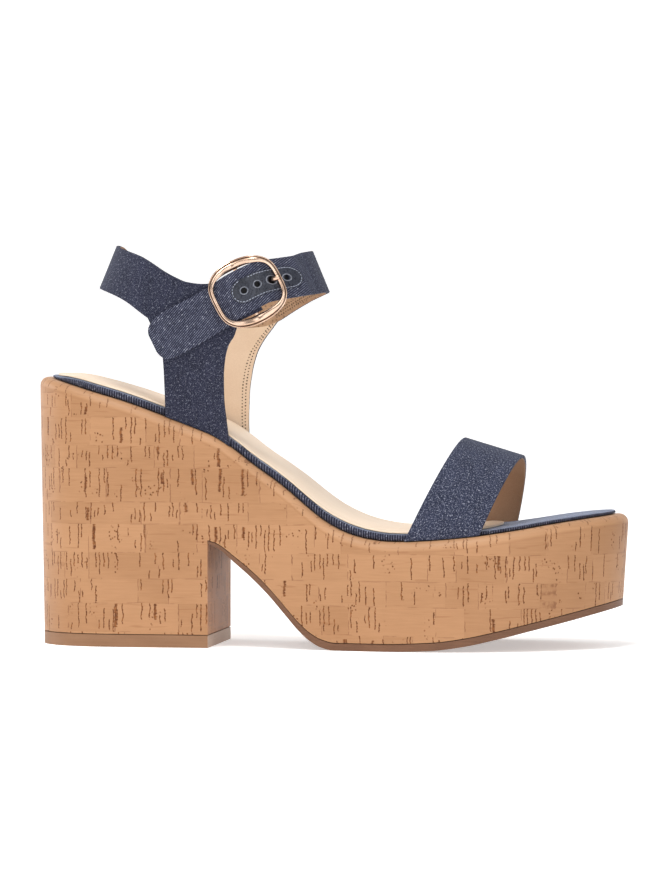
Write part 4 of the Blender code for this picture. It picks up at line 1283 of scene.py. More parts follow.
@dataclass
class Footbed:
    """Denim-wrapped insole and the leather sock lining on it."""

    form: ShoeForm
    edge_radius: float = 0.0014
    sock_margin: float = 0.0022
    sock_thickness: float = 0.0008
    sock_front: float = 0.7910
    sock_front_radius: float = 0.075
    front_steps: int = 96
    rounding_steps: int = 7

    def map_rings(self, piece: Piece, ring_count: int) -> None:
        """Writes the map of a stack of rings: arc length, and distance up the edge.

        Args:
            piece: piece whose vertices are still in the order of its rings.
            ring_count: number of rings.
        """
        mesh = piece.data
        points = np.array([vertex.co for vertex in mesh.vertices])
        count = len(points) // ring_count
        ring = self.form.outline()
        arc = travel(np.vstack((ring, ring[:1])))
        climb = travel(points.reshape(ring_count, count, 3))
        values = np.zeros((len(mesh.loops), 2))
        for polygon in mesh.polygons:
            corners = [mesh.loops[i].vertex_index for i in polygon.loop_indices]
            stations = np.array([corner % count for corner in corners])
            if len({corner // count for corner in corners}) == 1:
                pair = points[corners][:, :2]
            else:
                place = arc[stations].copy()
                if np.ptp(stations) > count / 2:
                    place[stations == 0] = arc[-1]
                pair = np.column_stack((place, climb.ravel()[corners]))
            values[list(polygon.loop_indices)] = pair
        set_uv(mesh, values)

    def build(self, wardrobe: Wardrobe) -> None:
        """Builds and dresses the insole and the sock lining.

        Args:
            wardrobe: materials of the shoe.
        """
        form = self.form
        margin, radius, thick = form.insole_margin, self.edge_radius, form.insole_thickness
        rings = []
        for inset, high in INSOLE_FOOT:
            rings.append(form.ring(margin + inset * radius, form.clearance, high * radius / thick))
        for inset, drop in form.rounding(radius, self.rounding_steps):
            rings.append(form.ring(margin + inset, form.clearance, 1.0 - drop / thick))
        rings.append(form.ring(margin + 3 * radius, form.clearance, 1.0))
        insole = stacked("denim_insole", rings)
        self.map_rings(insole, len(rings))
        # Upward faces take the second material, the lighter denim with painted highlight.
        for polygon in insole.data.polygons:
            polygon.material_index = int(polygon.normal.z > 0.8)
        dress(insole, [wardrobe.rand_denim, wardrobe.insole_denim])
        smooth(insole, 50.0)
        hand_over(insole, ["insole"])

        inset = margin + self.sock_margin
        base = 2 * form.clearance
        skin = self.sock_thickness
        rings = []
        for inward, high in SOCK_EDGE:
            rings.append(form.ring(inset + skin * inward, base + skin * high, 1.0))
        sock = stacked("leather_sock", rings)
        front = form.along(self.sock_front)
        reach = form.ball_width
        sides = np.linspace(-reach, reach, self.front_steps + 1)
        plan = [(front - y * y / (2 * self.sock_front_radius), y) for y in sides]
        plan += [(form.length, reach), (form.length, -reach)]
        low = [(x, y, 0.0) for x, y in plan]
        high = [(x, y, form.heel_height) for x, y in plan]
        carve(sock, prism("sock_front", low, high))
        dress(sock, [wardrobe.sock])
        smooth(sock, 40.0)
        hand_over(sock, ["sock_lining"])


def wall_of_grid(
    name: str,
    columns: Sequence[Array],
    maps: Sequence[Array],
    faces: Sequence[Sequence[int]],
    thickness: float,
    rounding: float,
    kinds: Optional[Sequence[int]] = None,
) -> Piece:
    """Strap wall of even thickness round a middle surface, with eased edges.

    Args:
        name: name of the object.
        columns: arrays of points of the middle surface.
        maps: arrays of map pairs, one for each point.
        faces: corner indices over all the points, outer side up.
        thickness: thickness of the wall.
        rounding: width of the eased edges.
        kinds: material index of each face's outer side.

    Returns:
        The wall, whose inner side has the next material.
    """
    points = np.vstack(columns)
    pairs = np.vstack(maps)
    piece = mesh_object(name, points, faces, fix_normals=False)
    mesh = piece.data
    corners = np.zeros(len(mesh.loops), np.int32)
    mesh.loops.foreach_get("vertex_index", corners)
    set_uv(mesh, pairs[corners])
    wall = piece.modifiers.new("Wall", "SOLIDIFY")
    wall.thickness = thickness
    wall.offset = 0.0
    wall.use_even_offset = True
    wall.material_offset = 1
    eased = piece.modifiers.new("Eased", "BEVEL")
    eased.width = rounding
    eased.segments = 3
    eased.limit_method = "ANGLE"
    eased.angle_limit = math.radians(60.0)
    holder = bpy.data.materials.new(name + "_side")
    for _ in range(max(kinds or [0]) + 2):
        mesh.materials.append(holder)
    if kinds:
        mesh.polygons.foreach_set("material_index", kinds)
    settle(piece)
    return piece


@dataclass
class VampStrap:
    """Broad strap over the toes, leaning forward, lasted down outside the insole."""

    form: ShoeForm
    width: float = 0.030
    height: float = 0.0387
    outer_foot: float = 0.7077
    inner_foot: float = 0.7337
    top_place: float = 0.7739
    top_width: float = 0.787
    top_middle: float = 0.868
    top_fall: float = 0.184
    roundness: float = 2.25
    eased: float = 0.00035
    arch_steps: int = 120
    rows: int = 18

    def build(self, wardrobe: Wardrobe) -> None:
        """Builds and dresses the strap.

        Args:
            wardrobe: materials of the shoe.
        """
        form = self.form
        lines: list[Array] = []
        for r in range(self.rows + 1):
            ahead = r / self.rows - 0.5
            feet = {
                Side.OUTER: form.along(self.outer_foot) + ahead * self.width,
                Side.INNER: form.along(self.inner_foot) + ahead * self.width,
            }
            top_x = form.along(self.top_place) + ahead * self.width * self.top_width
            rise = self.height * (self.top_middle - self.top_fall * ahead)
            top_z = float(form.top(form.along(self.top_place))) + rise
            line = []
            for i in range(self.arch_steps + 1):
                turn = math.pi * i / self.arch_steps
                side = Side.OUTER if turn < math.pi / 2 else Side.INNER
                foot_x = feet[side]
                foot_z = float(form.top(foot_x)) + form.clearance
                out = abs(math.cos(turn)) ** (2 / self.roundness)
                up = abs(math.sin(turn)) ** (2 / self.roundness)
                x = foot_x + (top_x - foot_x) * up
                y = side.sign * form.foot(x, side) * out
                line.append((x, y, foot_z + (top_z - foot_z) * up))
            lines.append(np.array(line))
        grid = np.array(lines)
        arch = travel(grid[self.rows // 2])
        maps = []
        for r in range(self.rows + 1):
            ahead = (r / self.rows - 0.5) * self.width
            maps.append(np.column_stack((np.full(len(arch), ahead), arch)))
        faces = grid_faces(self.rows + 1, self.arch_steps + 1)
        strap = wall_of_grid(
            "vamp_denim_strap", lines, maps, faces, form.strap_thickness, self.eased
        )
        # The lining side takes the darker copy with painted shade.
        dress(strap, [wardrobe.vamp_denim, wardrobe.shaded_vamp_lining])
        smooth(strap, 60.0)
        hand_over(strap, ["vamp_strap"])


@dataclass
class AnkleForm:
    """Shape of the ankle loop, the strap through the buckle and the places beside it."""

    form: ShoeForm
    strap_width: float = 0.0178
    strap_height: float = 0.0734
    loop_length: float = 0.0837
    loop_width: float = 0.064
    slant: float = 0.42
    back_rise: float = 0.879
    roundness: float = 2.4
    centre: float = 0.2975
    quarter_centre: float = 0.2839
    buckle_length: float = 0.0248
    buckle_width: float = 0.0248
    buckle_ahead: float = 0.440
    buckle_up: float = 0.740
    pitch: float = math.radians(26.0)
    bar_radius: float = 0.0009
    end_radius: float = 0.00085
    dip_share: float = 0.50
    hole_distance: float = 0.0101
    hole_spacing: float = 0.0054
    hole_radius: float = 0.0012
    prong_hole_radius: float = 0.0016
    prong_radius: float = 0.00072
    prong_ring: float = 0.0006

    def __post_init__(self) -> None:
        """Makes the curves of the strap."""
        self.base = float(self.form.top(self.form.along(self.quarter_centre)))
        self.low = SmoothTable.of(BUCKLED_STRAP, 1, self.strap_width)
        self.high = SmoothTable.of(BUCKLED_STRAP, 2, self.strap_width)
        self.over_bar = SmoothTable.of(BUCKLED_STRAP, 3)
        self.lying = SmoothTable.of(BUCKLED_STRAP, 4)

    def half_length(self, z: float) -> float:
        """Half length of the loop at a height."""
        middle = self.base + self.back_rise * self.strap_height
        return self.loop_length / 2 + self.slant * (middle - z)

    def surface(self, wrap: float, z: float) -> Vector:
        """Point of the loop's middle surface at a wrap angle and a height.

        Args:
            wrap: wrap angle in degrees.
            z: height.

        Returns:
            The point.
        """
        turn = math.radians(wrap)
        power = 2 / self.roundness
        x = self.form.along(self.centre)
        x += self.half_length(z) * signed_power(math.cos(turn), power)
        return Vector((x, -self.loop_width / 2 * signed_power(math.sin(turn), power), z))

    def point(self, wrap: float, z: float, lift: float = 0.0) -> Vector:
        """Point on the loop, moved outwards.

        Args:
            wrap: wrap angle in degrees.
            z: height.
            lift: distance outwards from the middle surface.

        Returns:
            The point.
        """
        if not lift:
            return self.surface(wrap, z)
        across = self.surface(wrap + 0.5, z) - self.surface(wrap - 0.5, z)
        upward = self.surface(wrap, z + 0.0005) - self.surface(wrap, z - 0.0005)
        return self.surface(wrap, z) + upward.cross(across).normalized() * lift

    def wrap_of(self, x: float, z: float) -> float:
        """Wrap angle, on the outer side, of a point seen square to the side.

        Args:
            x: place along the shoe.
            z: height.

        Returns:
            Wrap angle in degrees.
        """
        share = (x - self.form.along(self.centre)) / self.half_length(z)
        share = max(-1.0, min(1.0, share))
        return math.degrees(math.acos(signed_power(share, self.roundness / 2)))

    def beside(self, ahead: float, up: float, lift: float = 0.0) -> Vector:
        """Point on the outer side, placed from the buckle's middle.

        Args:
            ahead: distance along the strap, to the front.
            up: distance across it.
            lift: distance outwards.

        Returns:
            The point.
        """
        x = self.form.along(self.centre) + self.buckle_ahead * self.loop_length / 2
        z = self.base + self.buckle_up * self.strap_height
        x += ahead * math.cos(self.pitch) - up * math.sin(self.pitch)
        z += ahead * math.sin(self.pitch) + up * math.cos(self.pitch)
        return self.point(self.wrap_of(x, z), z, lift)

    @property
    def fold_radius(self) -> float:
        """Distance from the centre bar's axis to the middle of the fold's wall."""
        return self.bar_radius + self.form.clearance + self.form.strap_thickness / 2

    @property
    def layer(self) -> float:
        """Distance between the middles of two strap layers."""
        return self.form.strap_thickness + self.form.clearance

    def strap_lift(self, place: float) -> float:
        """Lift of the buckled strap at a place given as share of the buckle's length."""
        over_bar = float(self.over_bar(place)) * self.fold_radius
        return over_bar + float(self.lying(place)) * self.layer

    def strap_middle(self, ahead: float) -> float:
        """Middle of the buckled strap's width at a distance ahead of the centre bar."""
        place = ahead / self.buckle_length
        return float(self.low(place) + self.high(place)) / 2

    def frame_lift(self, place: float) -> float:
        """Lift of the buckle's frame, whose rails dip to the centre bar.

        Args:
            place: distance ahead of the bar, as a share of the buckle's length.

        Returns:
            Lift in metres.
        """
        end = self.strap_lift(place) + self.form.strap_thickness / 2
        end += 2 * self.form.clearance + self.end_radius
        return self.bar_radius + (end - self.bar_radius) * ease(abs(place) / self.dip_share)

    def hole_places(self) -> list[tuple[float, float]]:
        """Distance ahead and radius of each punched hole.

        Returns:
            Pairs of distance and radius, from the rear forwards.
        """
        places = []
        for i in range(-2, 2):
            radius = self.hole_radius if i else self.prong_hole_radius
            places.append((self.hole_distance + i * self.hole_spacing, radius))
        return places

    def punch(self, ahead: float, radius: float) -> Piece:
        """Round tool for one hole through the buckled strap.

        Args:
            ahead: distance ahead of the centre bar.
            radius: radius of the hole.

        Returns:
            The closed tool.
        """
        thick = self.form.strap_thickness
        middle = self.strap_lift(ahead / self.buckle_length)
        up = self.strap_middle(ahead)
        low = self.beside(ahead, up, middle - thick / 2 - self.form.clearance / 2)
        high = self.beside(ahead, up, middle + thick)
        shape = bmesh.new()
        bmesh.ops.create_cone(
            shape,
            cap_ends=True,
            segments=32,
            radius1=radius,
            radius2=radius,
            depth=(high - low).length,
        )
        turn = (high - low).to_track_quat("Z", "Y").to_matrix()
        bmesh.ops.rotate(shape, verts=shape.verts, matrix=turn)
        bmesh.ops.translate(shape, verts=shape.verts, vec=(low + high) / 2)
        mesh = bpy.data.meshes.new("punch")
        shape.to_mesh(mesh)
        shape.free()
        tool = bpy.data.objects.new("punch", mesh)
        bpy.context.scene.collection.objects.link(tool)
        return tool


def even_steps(path: Array, pitch: float) -> tuple[Array, Array]:
    """Points at even distances along a path.

    Args:
        path: points of the path.
        pitch: distance between the points that are made.

    Returns:
        The points and the path's direction at each.
    """
    length = travel(path)[-1]
    count = max(2, int(length / pitch))
    at = (np.arange(count) + 0.5) * length / count
    direction = along_path(path, at + pitch / 3) - along_path(path, at - pitch / 3)
    return along_path(path, at), unit(direction)


@dataclass
class SeamMarks:
    """Stitches or needle marks set along a seam by a node tree."""

    name: str
    radius: float
    length: float
    sides: int = 8
    seed: int = 7
    variation: float = 0.25

    def tree(self, material: Material) -> bpy.types.GeometryNodeTree:
        """Node tree that sets one short rod on each point, along the point's direction.

        Args:
            material: finish of the rods.

        Returns:
            The tree.
        """
        tree = bpy.data.node_groups.new(self.name + "_tree", "GeometryNodeTree")
        face = tree.interface
        face.new_socket("Geometry", in_out="INPUT", socket_type="NodeSocketGeometry")
        for label in ("Rod Radius", "Rod Length", "Size Variation"):
            face.new_socket(label, in_out="INPUT", socket_type="NodeSocketFloat")
        face.new_socket("Geometry", in_out="OUTPUT", socket_type="NodeSocketGeometry")
        sheet = Sheet(tree)
        given = sheet.node("NodeGroupInput").outputs
        feeds = {"Vertices": self.sides, "Radius": given["Rod Radius"], "Depth": given["Rod Length"]}
        rod = sheet.node("GeometryNodeMeshCylinder", feeds)
        feeds = {"Name": "direction"}
        way = sheet.node("GeometryNodeInputNamedAttribute", feeds, data_type="FLOAT_VECTOR")
        feeds = {"Vector": way.outputs["Attribute"]}
        turn = sheet.node("FunctionNodeAlignRotationToVector", feeds, axis="Z")
        least = sheet.node("ShaderNodeMath", (1.0, given["Size Variation"]), operation="SUBTRACT")
        feeds = {2: least.outputs[0], 3: 1.0, "Seed": self.seed}
        size = sheet.node("FunctionNodeRandomValue", feeds, data_type="FLOAT")
        feeds = {
            "Points": given["Geometry"],
            "Instance": rod.outputs["Mesh"],
            "Rotation": turn.outputs["Rotation"],
            "Scale": size.outputs[1],
        }
        place = sheet.node("GeometryNodeInstanceOnPoints", feeds)
        feeds = {"Geometry": place.outputs["Instances"]}
        real = sheet.node("GeometryNodeRealizeInstances", feeds)
        feeds = {"Geometry": real.outputs["Geometry"], "Material": material}
        paint = sheet.node("GeometryNodeSetMaterial", feeds)
        sheet.node("NodeGroupOutput", {"Geometry": paint.outputs["Geometry"]})
        return tree

    def build(
        self, points: Array, directions: Array, material: Material
    ) -> Piece:
        """Makes the marks.

        Args:
            points: where they sit.
            directions: way that each rod points.
            material: their finish.

        Returns:
            One plain mesh of all marks.
        """
        piece = mesh_object(self.name, points, [], fix_normals=False)
        attribute = piece.data.attributes.new("direction", "FLOAT_VECTOR", "POINT")
        attribute.data.foreach_set("vector", directions.astype(np.float32).ravel())
        tree = self.tree(material)
        modifier = piece.modifiers.new("Marks", "NODES")
        modifier.node_group = tree
        wanted = {
            "Rod Radius": self.radius,
            "Rod Length": self.length,
            "Size Variation": self.variation,
        }
        for item in tree.interface.items_tree:
            if item.in_out == "INPUT" and item.name in wanted:
                modifier[item.identifier] = wanted[item.name]
        settle(piece)
        piece.data.materials.clear()
        piece.data.materials.append(material)
        smooth(piece, 50.0)
        return piece


@dataclass
class AnkleUpper:
    """Two quarters, back strap and buckled ankle strap, with their needle marks."""

    ankle: AnkleForm
    quarter_width: float = 0.0243
    ease_end: float = 0.53
    fold_width: float = 0.98
    spacing: float = 0.0015
    rows: int = 12
    quarter_rows: int = 34
    strap_columns: int = 80
    tip_columns: int = 22
    eased: float = 0.00032
    outer_span: tuple[float, float] = (77.4, 112.0)
    inner_span: tuple[float, float] = (248.0, 291.0)
    quarter_seams: tuple[float, ...] = (0.0016, 0.0030)
    quarter_pitch: float = 0.0013
    band_seams: tuple[float, ...] = (0.0018, 0.0030, 0.0042)
    band_pitch: float = 0.00115
    top_seam: tuple[float, ...] = (0.0021,)
    top_pitch: float = 0.00125
    mark_radius: float = 0.00034
    mark_depth: float = 0.00012

    def fold(self) -> list[Array]:
        """Columns of the quarter's end round the centre bar.

        Returns:
            Columns of points, from the fold's end to the band.
        """
        a = self.ankle
        radius = a.fold_radius
        path = [(place * a.buckle_length, share * a.layer) for place, share in FOLD_UNDER]
        path.append((FOLD_OVER[0][0] * a.buckle_length, -radius))
        for i in range(13):
            turn = math.pi * (i / 12 - 0.5)
            path.append((radius * math.cos(turn), radius * math.sin(turn)))
        path += [(place * a.buckle_length, share * radius) for place, share in FOLD_OVER]
        half = a.strap_width * self.fold_width / 2
        ups = np.linspace(-half, half, self.rows + 1)
        return [np.array([a.beside(ahead, up, lift) for up in ups]) for ahead, lift in path]

    def band(self) -> tuple[list[Array], list[float]]:
        """Columns of the band round the ankle, and the wrap of each one's lower end.

        Returns:
            Columns of points from the lower edge up, and their wraps in degrees.
        """
        a = self.ankle
        order = np.arange(len(ANKLE_BAND))
        tables = [SmoothTable(order, [row[k] for row in ANKLE_BAND]) for k in range(4)]
        fine = np.linspace(0.0, order[-1], 16 * order[-1] + 1)
        middles = []
        for place in fine:
            low, high, middle, _ = (float(table(place)) for table in tables)
            middles.append(a.point((low + high) / 2, a.base + middle * a.strap_height))
        travelled = travel(middles)
        count = int(round(travelled[-1] / self.spacing))
        columns, wraps = [], []
        for place in np.interp(np.linspace(0.0, travelled[-1], count + 1), travelled, fine):
            low, high, middle, width = (float(table(place)) for table in tables)
            height = a.base + middle * a.strap_height
            half = width * a.strap_width / 2
            points = []
            for share in np.linspace(0.0, 1.0, self.rows + 1):
                points.append(a.point(low + (high - low) * share, height + half * (2 * share - 1)))
            columns.append(np.array(points))
            wraps.append(low)
        return columns, wraps

    def strap(self) -> list[Array]:
        """Columns of the strap through the buckle, from its front to its free tip.

        Returns:
            Columns of points from the lower edge up.
        """
        a = self.ankle
        body_end, tip = BUCKLED_STRAP[11][0], BUCKLED_STRAP[-1][0]
        places = list(np.linspace(BUCKLED_STRAP[0][0], body_end, self.strap_columns))
        turns = np.linspace(0.0, math.pi / 2, self.tip_columns + 1)[1:]
        places += [body_end + (tip - body_end) * math.sin(turn) for turn in turns]
        columns = []
        for place in places:
            ups = np.linspace(float(a.low(place)), float(a.high(place)), self.rows + 1)
            lift = a.strap_lift(place)
            columns.append(np.array([a.beside(place * a.buckle_length, up, lift) for up in ups]))
        return columns

    def quarter_point(self, x: float, z: float, side: Side) -> Array:
        """Point of a quarter: upright at the insole's edge, easing out to the ankle's width.

        Args:
            x: place along the shoe.
            z: height.
            side: side of the foot.

        Returns:
            The point.
        """
        a, form = self.ankle, self.ankle.form
        upper = abs(a.surface(a.wrap_of(x, z), z).y)
        foot = form.foot(x, side)
        start = float(form.top(x))
        reach = a.base + self.ease_end * a.strap_height - start
        return np.array((x, side.sign * (foot + (upper - foot) * ease((z - start) / reach)), z))

    def quarter(
        self, top: Array, top_map: Array, rows: Rows, side: Side
    ) -> tuple[Array, Array]:
        """Grid of a quarter below the band's lower edge.

        Args:
            top: points of the band's lower edge.
            top_map: their map pairs.
            rows: table of its edges.
            side: side of the foot.

        Returns:
            Points and map pairs, as rows from the top down, without the band's own edge.
        """
        form = self.ankle.form
        centre = form.along(self.ankle.quarter_centre)
        half = self.quarter_width / 2
        first, last = top[0][0], top[-1][0]
        drops = [0.0] + [row[0] for row in rows]
        rear = [centre - half * row[1] for row in rows]
        front = [centre + half * row[2] for row in rows]
        start, end = (rear, front) if first < last else (front, rear)
        edge_a = SmoothTable(drops, [first] + start)
        edge_b = SmoothTable(drops, [last] + end)
        shares = (top[:, 0] - first) / (last - first)
        foot_x = start[-1] + (end[-1] - start[-1]) * shares
        foot_z = form.top(foot_x) + form.clearance
        middle = len(top) // 2
        u_sign = -side.sign
        points, maps = [], []
        for j in range(1, self.quarter_rows + 1):
            drop = j / self.quarter_rows
            x = float(edge_a(drop)) + float(edge_b(drop) - edge_a(drop)) * shares
            z = top[:, 2] + (foot_z - top[:, 2]) * drop
            points.append(np.array([self.quarter_point(*pair, side) for pair in zip(x, z)]))
            plain_u = top_map[middle][0] + u_sign * (x - top[middle][0])
            blend = ease(drop / 0.3)
            u = top_map[:, 0] * (1 - blend) + plain_u * blend
            maps.append(np.column_stack((u, top_map[:, 1] - (top[:, 2] - z))))
        return np.array(points), np.array(maps)

    def seam_rows(
        self, grid: Array, offsets: Sequence[float], pitch: float
    ) -> tuple[Array, Array]:
        """Needle marks on the lining side along the first line of a grid.

        Args:
            grid: points as lines from the edge inwards.
            offsets: distances of the seam's rows from the edge.
            pitch: distance between marks.

        Returns:
            Their points and the directions square to the lining.
        """
        form = self.ankle.form
        deep = travel(grid)
        middle = np.array((form.along(self.ankle.centre), 0.0))

        def line_at(offset: float) -> Array:
            """Path at a distance from the grid's first line.

            Args:
                offset: distance from that line.

            Returns:
                Points of the path.
            """
            return np.array([
                [np.interp(offset, deep[:, i], grid[:, i, k]) for k in range(3)]
                for i in range(grid.shape[1])
            ])

        places, ways = [], []
        for offset in offsets:
            points, along = even_steps(line_at(offset), pitch)
            inner = line_at(offset + 0.001)
            inner_points, _ = even_steps(inner, pitch)
            if len(inner_points) != len(points):
                inner_points, _ = even_steps(inner, pitch * 1.0001)
            count = min(len(points), len(inner_points))
            across = inner_points[:count] - points[:count]
            normal = unit(np.cross(along[:count], across))
            inward = middle - points[:count, :2]
            normal *= np.sign((normal[:, :2] * inward).sum(axis=1))[:, None]
            places.append(points[:count] + normal * (form.strap_thickness / 2))
            ways.append(normal)
        return np.vstack(places), np.vstack(ways)

    def build(self, wardrobe: Wardrobe) -> None:
        """Builds and dresses the upper and the needle marks of its seams.

        Args:
            wardrobe: materials of the shoe.
        """
        a, form = self.ankle, self.ankle.form
        folds = self.fold()
        band, wraps = self.band()
        columns = folds + band + self.strap()
        middles = np.array([points[self.rows // 2] for points in columns])
        maps = []
        for points, way in zip(columns, travel(middles)):
            up = travel(points)
            up = up - up[-1] / 2
            if len(folds) <= len(maps) < len(folds) + len(band):
                up = points[:, 2] - a.base
            maps.append(np.column_stack((np.full(len(points), -way), up)))
        count = self.rows + 1
        faces = [face[::-1] for face in grid_faces(len(columns), count)]
        total = len(columns) * count

        def column_at(wrap: float) -> int:
            """Column of the band whose lower end is nearest to a wrap angle."""
            return len(folds) + min(range(len(wraps)), key=lambda i: abs(wraps[i] - wrap))

        outer_span = [column_at(wrap) for wrap in self.outer_span]
        inner_span = [column_at(wrap) for wrap in self.inner_span]
        seams: list[tuple[Array, Array]] = []
        points_list, maps_list = list(columns), list(maps)
        for (first, last), table, side in (
            (outer_span, OUTER_QUARTER, Side.OUTER), (inner_span, INNER_QUARTER, Side.INNER)
        ):
            top = np.array([columns[i][0] for i in range(first, last + 1)])
            top_map = np.array([maps[i][0] for i in range(first, last + 1)])
            points, pairs = self.quarter(top, top_map, table, side)
            width = len(top)
            above = [i * count for i in range(first, last + 1)]
            for j in range(self.quarter_rows):
                here = [total + j * width + i for i in range(width)]
                for i in range(width - 1):
                    faces.append((above[i], above[i + 1], here[i + 1], here[i]))
                above = here
            total += self.quarter_rows * width
            points_list.append(points.reshape(-1, 3))
            maps_list.append(pairs.reshape(-1, 2))
            by_edge = np.concatenate((top[None], points)).transpose(1, 0, 2)
            edges = (by_edge, by_edge[::-1])
            for lines in edges if side is Side.OUTER else edges[::-1]:
                seams.append(self.seam_rows(lines, self.quarter_seams, self.quarter_pitch))
        runs = (len(folds), len(folds) + len(band) - 1, len(columns) - 1)
        ends = [run * self.rows for run in runs] + [len(faces)]
        kinds: list[int] = []
        for kind, end in zip((4, 0, 2, 4), ends):
            kinds += [kind] * (end - len(kinds))
        upper = wall_of_grid(
            "ankle_denim_upper",
            points_list,
            maps_list,
            faces,
            form.strap_thickness,
            self.eased,
            kinds,
        )
        carve(upper, self.prong_slot())
        for ahead, radius in a.hole_places():
            carve(upper, a.punch(ahead, radius))
        sides = [wardrobe.denim, wardrobe.band_lining, wardrobe.strap_denim, wardrobe.band_lining]
        dress(upper, sides + [wardrobe.denim, wardrobe.lining])
        smooth(upper, 60.0)
        hand_over(upper, ["ankle_upper"])

        whole = np.array(columns[:len(folds) + len(wraps)]).transpose(1, 0, 2)
        for lines in (whole[:, outer_span[1]:inner_span[0]], whole[:, inner_span[1]:]):
            seams.append(self.seam_rows(lines, self.band_seams, self.band_pitch))
        seams.append(self.seam_rows(whole[::-1, len(folds):], self.top_seam, self.top_pitch))
        marks = SeamMarks("lining_needle_marks", self.mark_radius, self.mark_depth).build(
            np.vstack([pair[0] for pair in seams]),
            np.vstack([pair[1] for pair in seams]),
            wardrobe.needle_mark,
        )
        hand_over(marks)

    def prong_slot(self) -> Piece:
        """Tool for the slot in the fold, through which the prong reaches its bar.

        Returns:
            Block as wide and long as the slot.
        """
        a = self.ankle
        gap, ring = a.form.clearance, a.prong_ring
        reach = a.bar_radius + 2 * gap + 2 * ring
        ahead = (-reach - gap, reach + a.form.strap_thickness)
        middle = a.strap_middle(a.hole_distance)
        up = (middle - ring - gap, middle + ring + gap)
        corners = [(ahead[i], up[j]) for i, j in ((0, 0), (1, 0), (1, 1), (0, 1))]
        inside = -a.fold_radius - a.form.strap_thickness
        outside = a.fold_radius + a.form.strap_thickness / 2 + gap / 2
        ends = [[a.beside(*corner, lift) for corner in corners] for lift in (inside, outside)]
        return prism("prong_slot", *ends)


